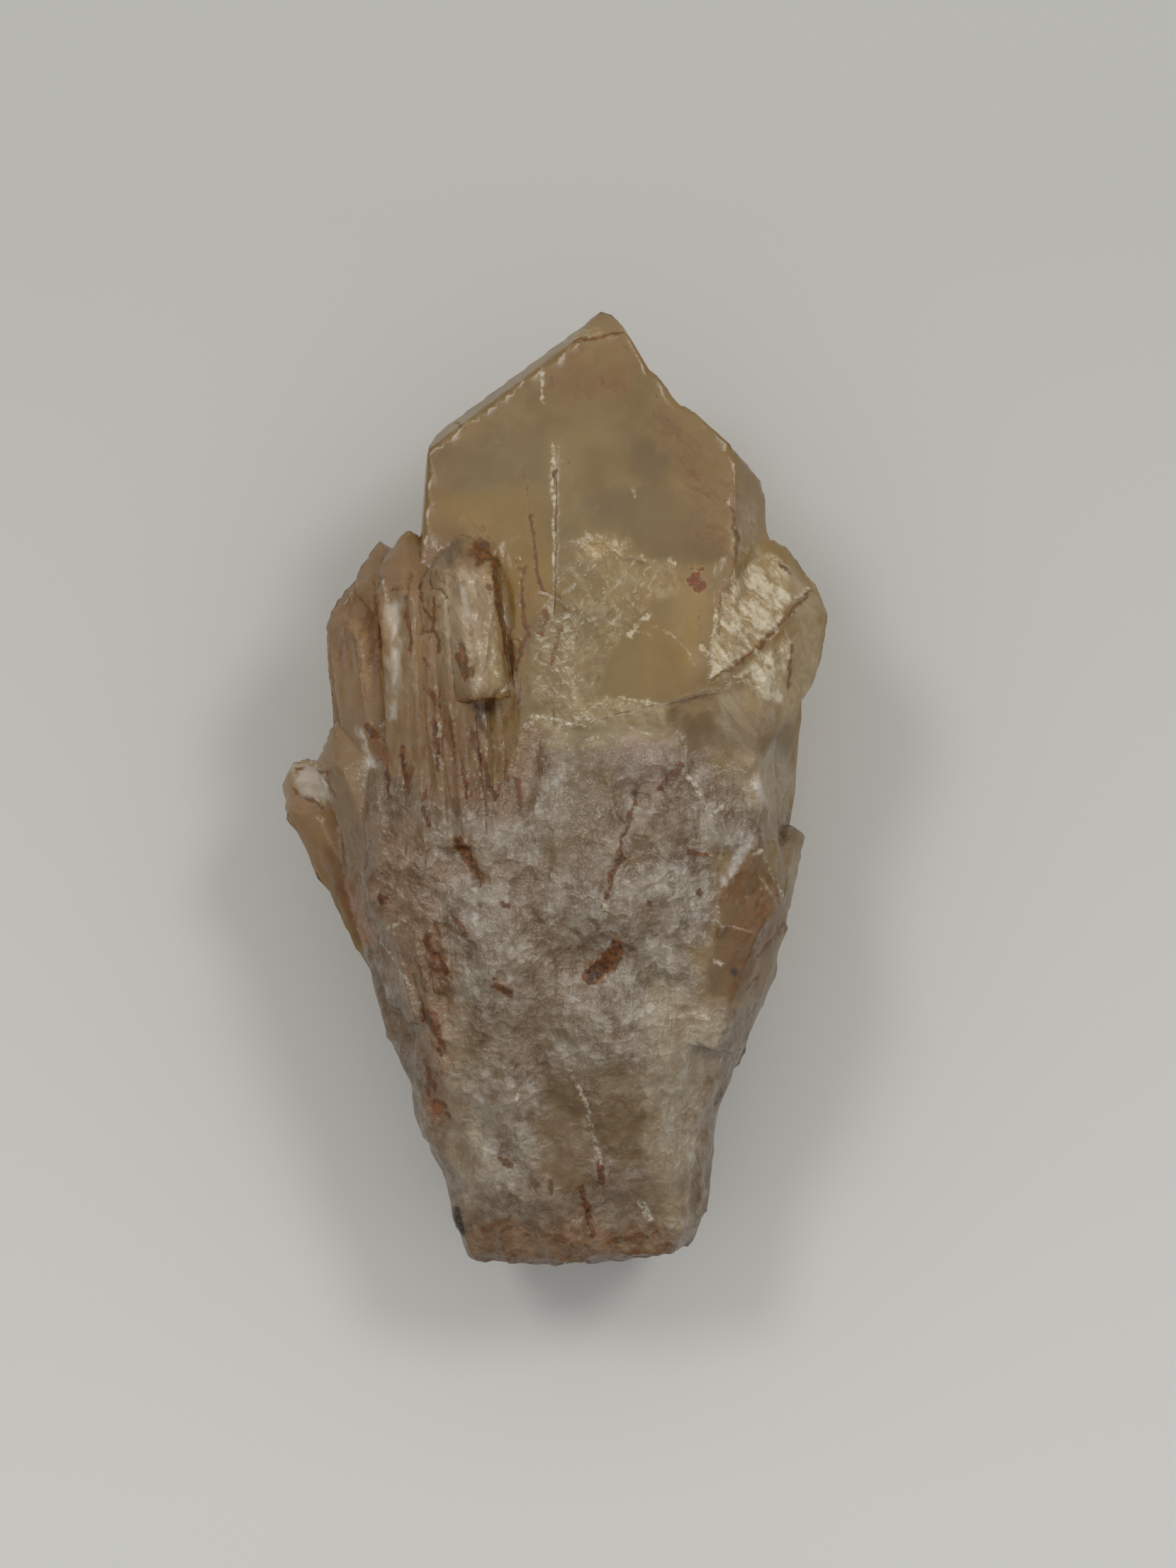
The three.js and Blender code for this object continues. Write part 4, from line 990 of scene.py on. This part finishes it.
# %% Clearness and roughness
solid_skin = maths("MAXIMUM", maths("MULTIPLY", milk_mask, 0.85), maths("MULTIPLY", veil_and_highlight_mask, 0.8))
solid_skin = maths("MAXIMUM", solid_skin, maths("MAXIMUM", iron_mask, maths("MULTIPLY", film_and_rim_shade_mask, 0.5)))
solid_skin = maths("MAXIMUM", solid_skin, maths("MAXIMUM", layer("dark"), layer("red")))
solid_skin = maths("MAXIMUM", solid_skin, maths("MAXIMUM", painted_highlight_mask, maths("MULTIPLY", shine, 0.7)))
clear = maths("MULTIPLY_ADD", solid_skin, -0.5, 0.64, clamp=True)
rough = maths("MULTIPLY_ADD", iron_mask, 0.25, maths("MULTIPLY_ADD", milk_mask, 0.02, 0.24))

# %% [markdown]
# ## Relief too small to model
# The veils are crumpled like foil, and the stem is covered with chips under half a millimetre. A bump
# node tilts the light on them, from one height made of the chips and the mottle.

# %% Bump
chip_relief = maths("MULTIPLY_ADD", chips.outputs["Distance"], 0.4, maths("MULTIPLY_ADD", mottle, 0.9, -0.6))
foil = maths("MULTIPLY", layer("veil_and_highlight"), maths("MULTIPLY_ADD", layer("rosy"), -0.6, 0.9))
relief = maths("MULTIPLY", chip_relief, maths("MAXIMUM", milk_mask, maths("ADD", foil, 0.05)))
bump = node("Bump")
feed(bump.inputs["Height"], relief)
bump.inputs["Strength"].default_value = 0.8
bump.inputs["Distance"].default_value = 0.6 * MM

# %% [markdown]
# The body colour is light on the skin and deepens inside: the smoke takes most of the blue and little
# of the red, so thick crystals look honey brown and thin tips stay pale.

# %% The shader and the smoky body
QUARTZ_IOR = 1.54
SMOKE_COLOUR, SMOKE_DENSITY = (0.86, 0.66, 0.4, 1), 18
quartz_shader = node("BsdfPrincipled")
feed(quartz_shader.inputs["Base Color"], body)
feed(quartz_shader.inputs["Transmission Weight"], clear)
feed(quartz_shader.inputs["Roughness"], rough)
feed(quartz_shader.inputs["Normal"], bump.outputs[0])
quartz_shader.inputs["IOR"].default_value = QUARTZ_IOR
smoke = node("VolumeAbsorption")
smoke.inputs["Color"].default_value = SMOKE_COLOUR
smoke.inputs["Density"].default_value = SMOKE_DENSITY
output = node("OutputMaterial")
feed(output.inputs["Surface"], quartz_shader.outputs[0])
feed(output.inputs["Volume"], smoke.outputs[0])
mesh.materials.append(quartz)
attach(specimen, "root")
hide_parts("citrine_cluster")
print("material nodes:", len(tree.nodes))

# %% [markdown]
# ## Table, light and camera
# The specimen lies on a pale matt table, its colour painted a little lighter towards the viewer as
# painted light. Two soft lamps and a room that is brightest overhead, towards the tips, light it from
# above. The light is wide, so shadows are soft and only gather at the sides. The camera looks straight
# down from 47 cm.

# %% Table
TABLE_SIZE = 3.0
FAR_END, NEAR_END = 60 * MM, -75 * MM
table_mesh = bpy.data.meshes.new("table_top")
table_form = bmesh.new()
bmesh.ops.create_grid(table_form, x_segments=1, y_segments=1, size=TABLE_SIZE / 2)
table_form.to_mesh(table_mesh)
table_form.free()
table = bpy.data.objects.new("table_top", table_mesh)
bpy.context.scene.collection.objects.link(table)
matt = bpy.data.materials.new("matt_table")
matt.use_nodes = True
matt_shader = matt.node_tree.nodes["Principled BSDF"]
table_tree = matt.node_tree
table_place = table_tree.nodes.new("ShaderNodeTexCoord")
table_axes = table_tree.nodes.new("ShaderNodeSeparateXYZ")
# Painted light: the table colour grows lighter from the far end towards the viewer.
nearer = table_tree.nodes.new("ShaderNodeMapRange")
nearer.inputs["From Min"].default_value, nearer.inputs["From Max"].default_value = FAR_END, NEAR_END
table_tone = table_tree.nodes.new("ShaderNodeMix")
table_tone.data_type = "RGBA"
table_tone.inputs[6].default_value = tone(217, 217, 214)
table_tone.inputs[7].default_value = tone(241, 241, 238)
table_tree.links.new(table_place.outputs["Object"], table_axes.inputs[0])
table_tree.links.new(table_axes.outputs["Y"], nearer.inputs["Value"])
table_tree.links.new(nearer.outputs[0], table_tone.inputs["Factor"])
table_tree.links.new(table_tone.outputs[2], matt_shader.inputs["Base Color"])
matt_shader.inputs["Roughness"].default_value = 0.9
matt_shader.inputs["Specular IOR Level"].default_value = 0.1
table_mesh.materials.append(matt)


# %% Lights
DAYLIGHT = (1.0, 0.99, 0.96)


def soft_light(name, at, size, power):
    """A round lamp that points at the specimen."""
    lamp = bpy.data.lights.new(name, "AREA")
    lamp.shape, lamp.size, lamp.energy, lamp.color = "DISK", size, power, DAYLIGHT
    holder = bpy.data.objects.new(name, lamp)
    holder.location = at
    holder.rotation_euler = (Vector((0, 0, 0.01)) - Vector(at)).to_track_quat("-Z", "Y").to_euler()
    bpy.context.scene.collection.objects.link(holder)


soft_light("window_left", (-0.36, 0.34, 0.86), 0.24, 1.2)
soft_light("window_right", (0.4, 0.34, 0.84), 0.24, 1.3)
world = bpy.data.worlds.new("soft_room")
world.use_nodes = True
sky = world.node_tree
heading = sky.nodes.new("ShaderNodeTexCoord")
brightest = sky.nodes.new("ShaderNodeVectorMath")
brightest.operation = "DOT_PRODUCT"
brightest.inputs[1].default_value = Vector((0.04, 0.3, 0.9)).normalized()
ramp = sky.nodes.new("ShaderNodeValToRGB")
sky.links.new(heading.outputs["Generated"], brightest.inputs[0])
sky.links.new(brightest.outputs["Value"], ramp.inputs[0])
sky.links.new(ramp.outputs[0], sky.nodes["Background"].inputs["Color"])
ramp.color_ramp.elements[0].color = (0.14, 0.138, 0.135, 1)
ramp.color_ramp.elements[1].color = (1, 0.99, 0.97, 1)
for at, level in ((0.3, 0.24), (0.6, 0.62), (0.85, 0.95)):
    stop = ramp.color_ramp.elements.new(at)
    stop.color = (level, 0.99 * level, 0.97 * level, 1)
sky.nodes["Background"].inputs["Strength"].default_value = 0.66
bpy.context.scene.world = world
bpy.context.scene.view_settings.view_transform = "Standard"

# %% Camera
CAMERA_HEIGHT, CAMERA_X, CAMERA_Y = 467 * MM, 3.5 * MM, 0.85 * MM
SENSOR = 36
PICTURE_PIXELS, FOCAL_PIXELS = 2212, 6300  # the picture's height, and the lens in the same pixels
eye = bpy.data.cameras.new("overhead_camera")
eye.sensor_width = SENSOR
eye.lens = FOCAL_PIXELS / PICTURE_PIXELS * SENSOR
eye.clip_start = 0.02
camera = bpy.data.objects.new("overhead_camera", eye)
camera.location = (CAMERA_X, CAMERA_Y, CAMERA_HEIGHT)
bpy.context.scene.collection.objects.link(camera)
bpy.context.scene.camera = camera
print("camera", CAMERA_HEIGHT / MM, "mm above the table, lens", round(eye.lens, 1))
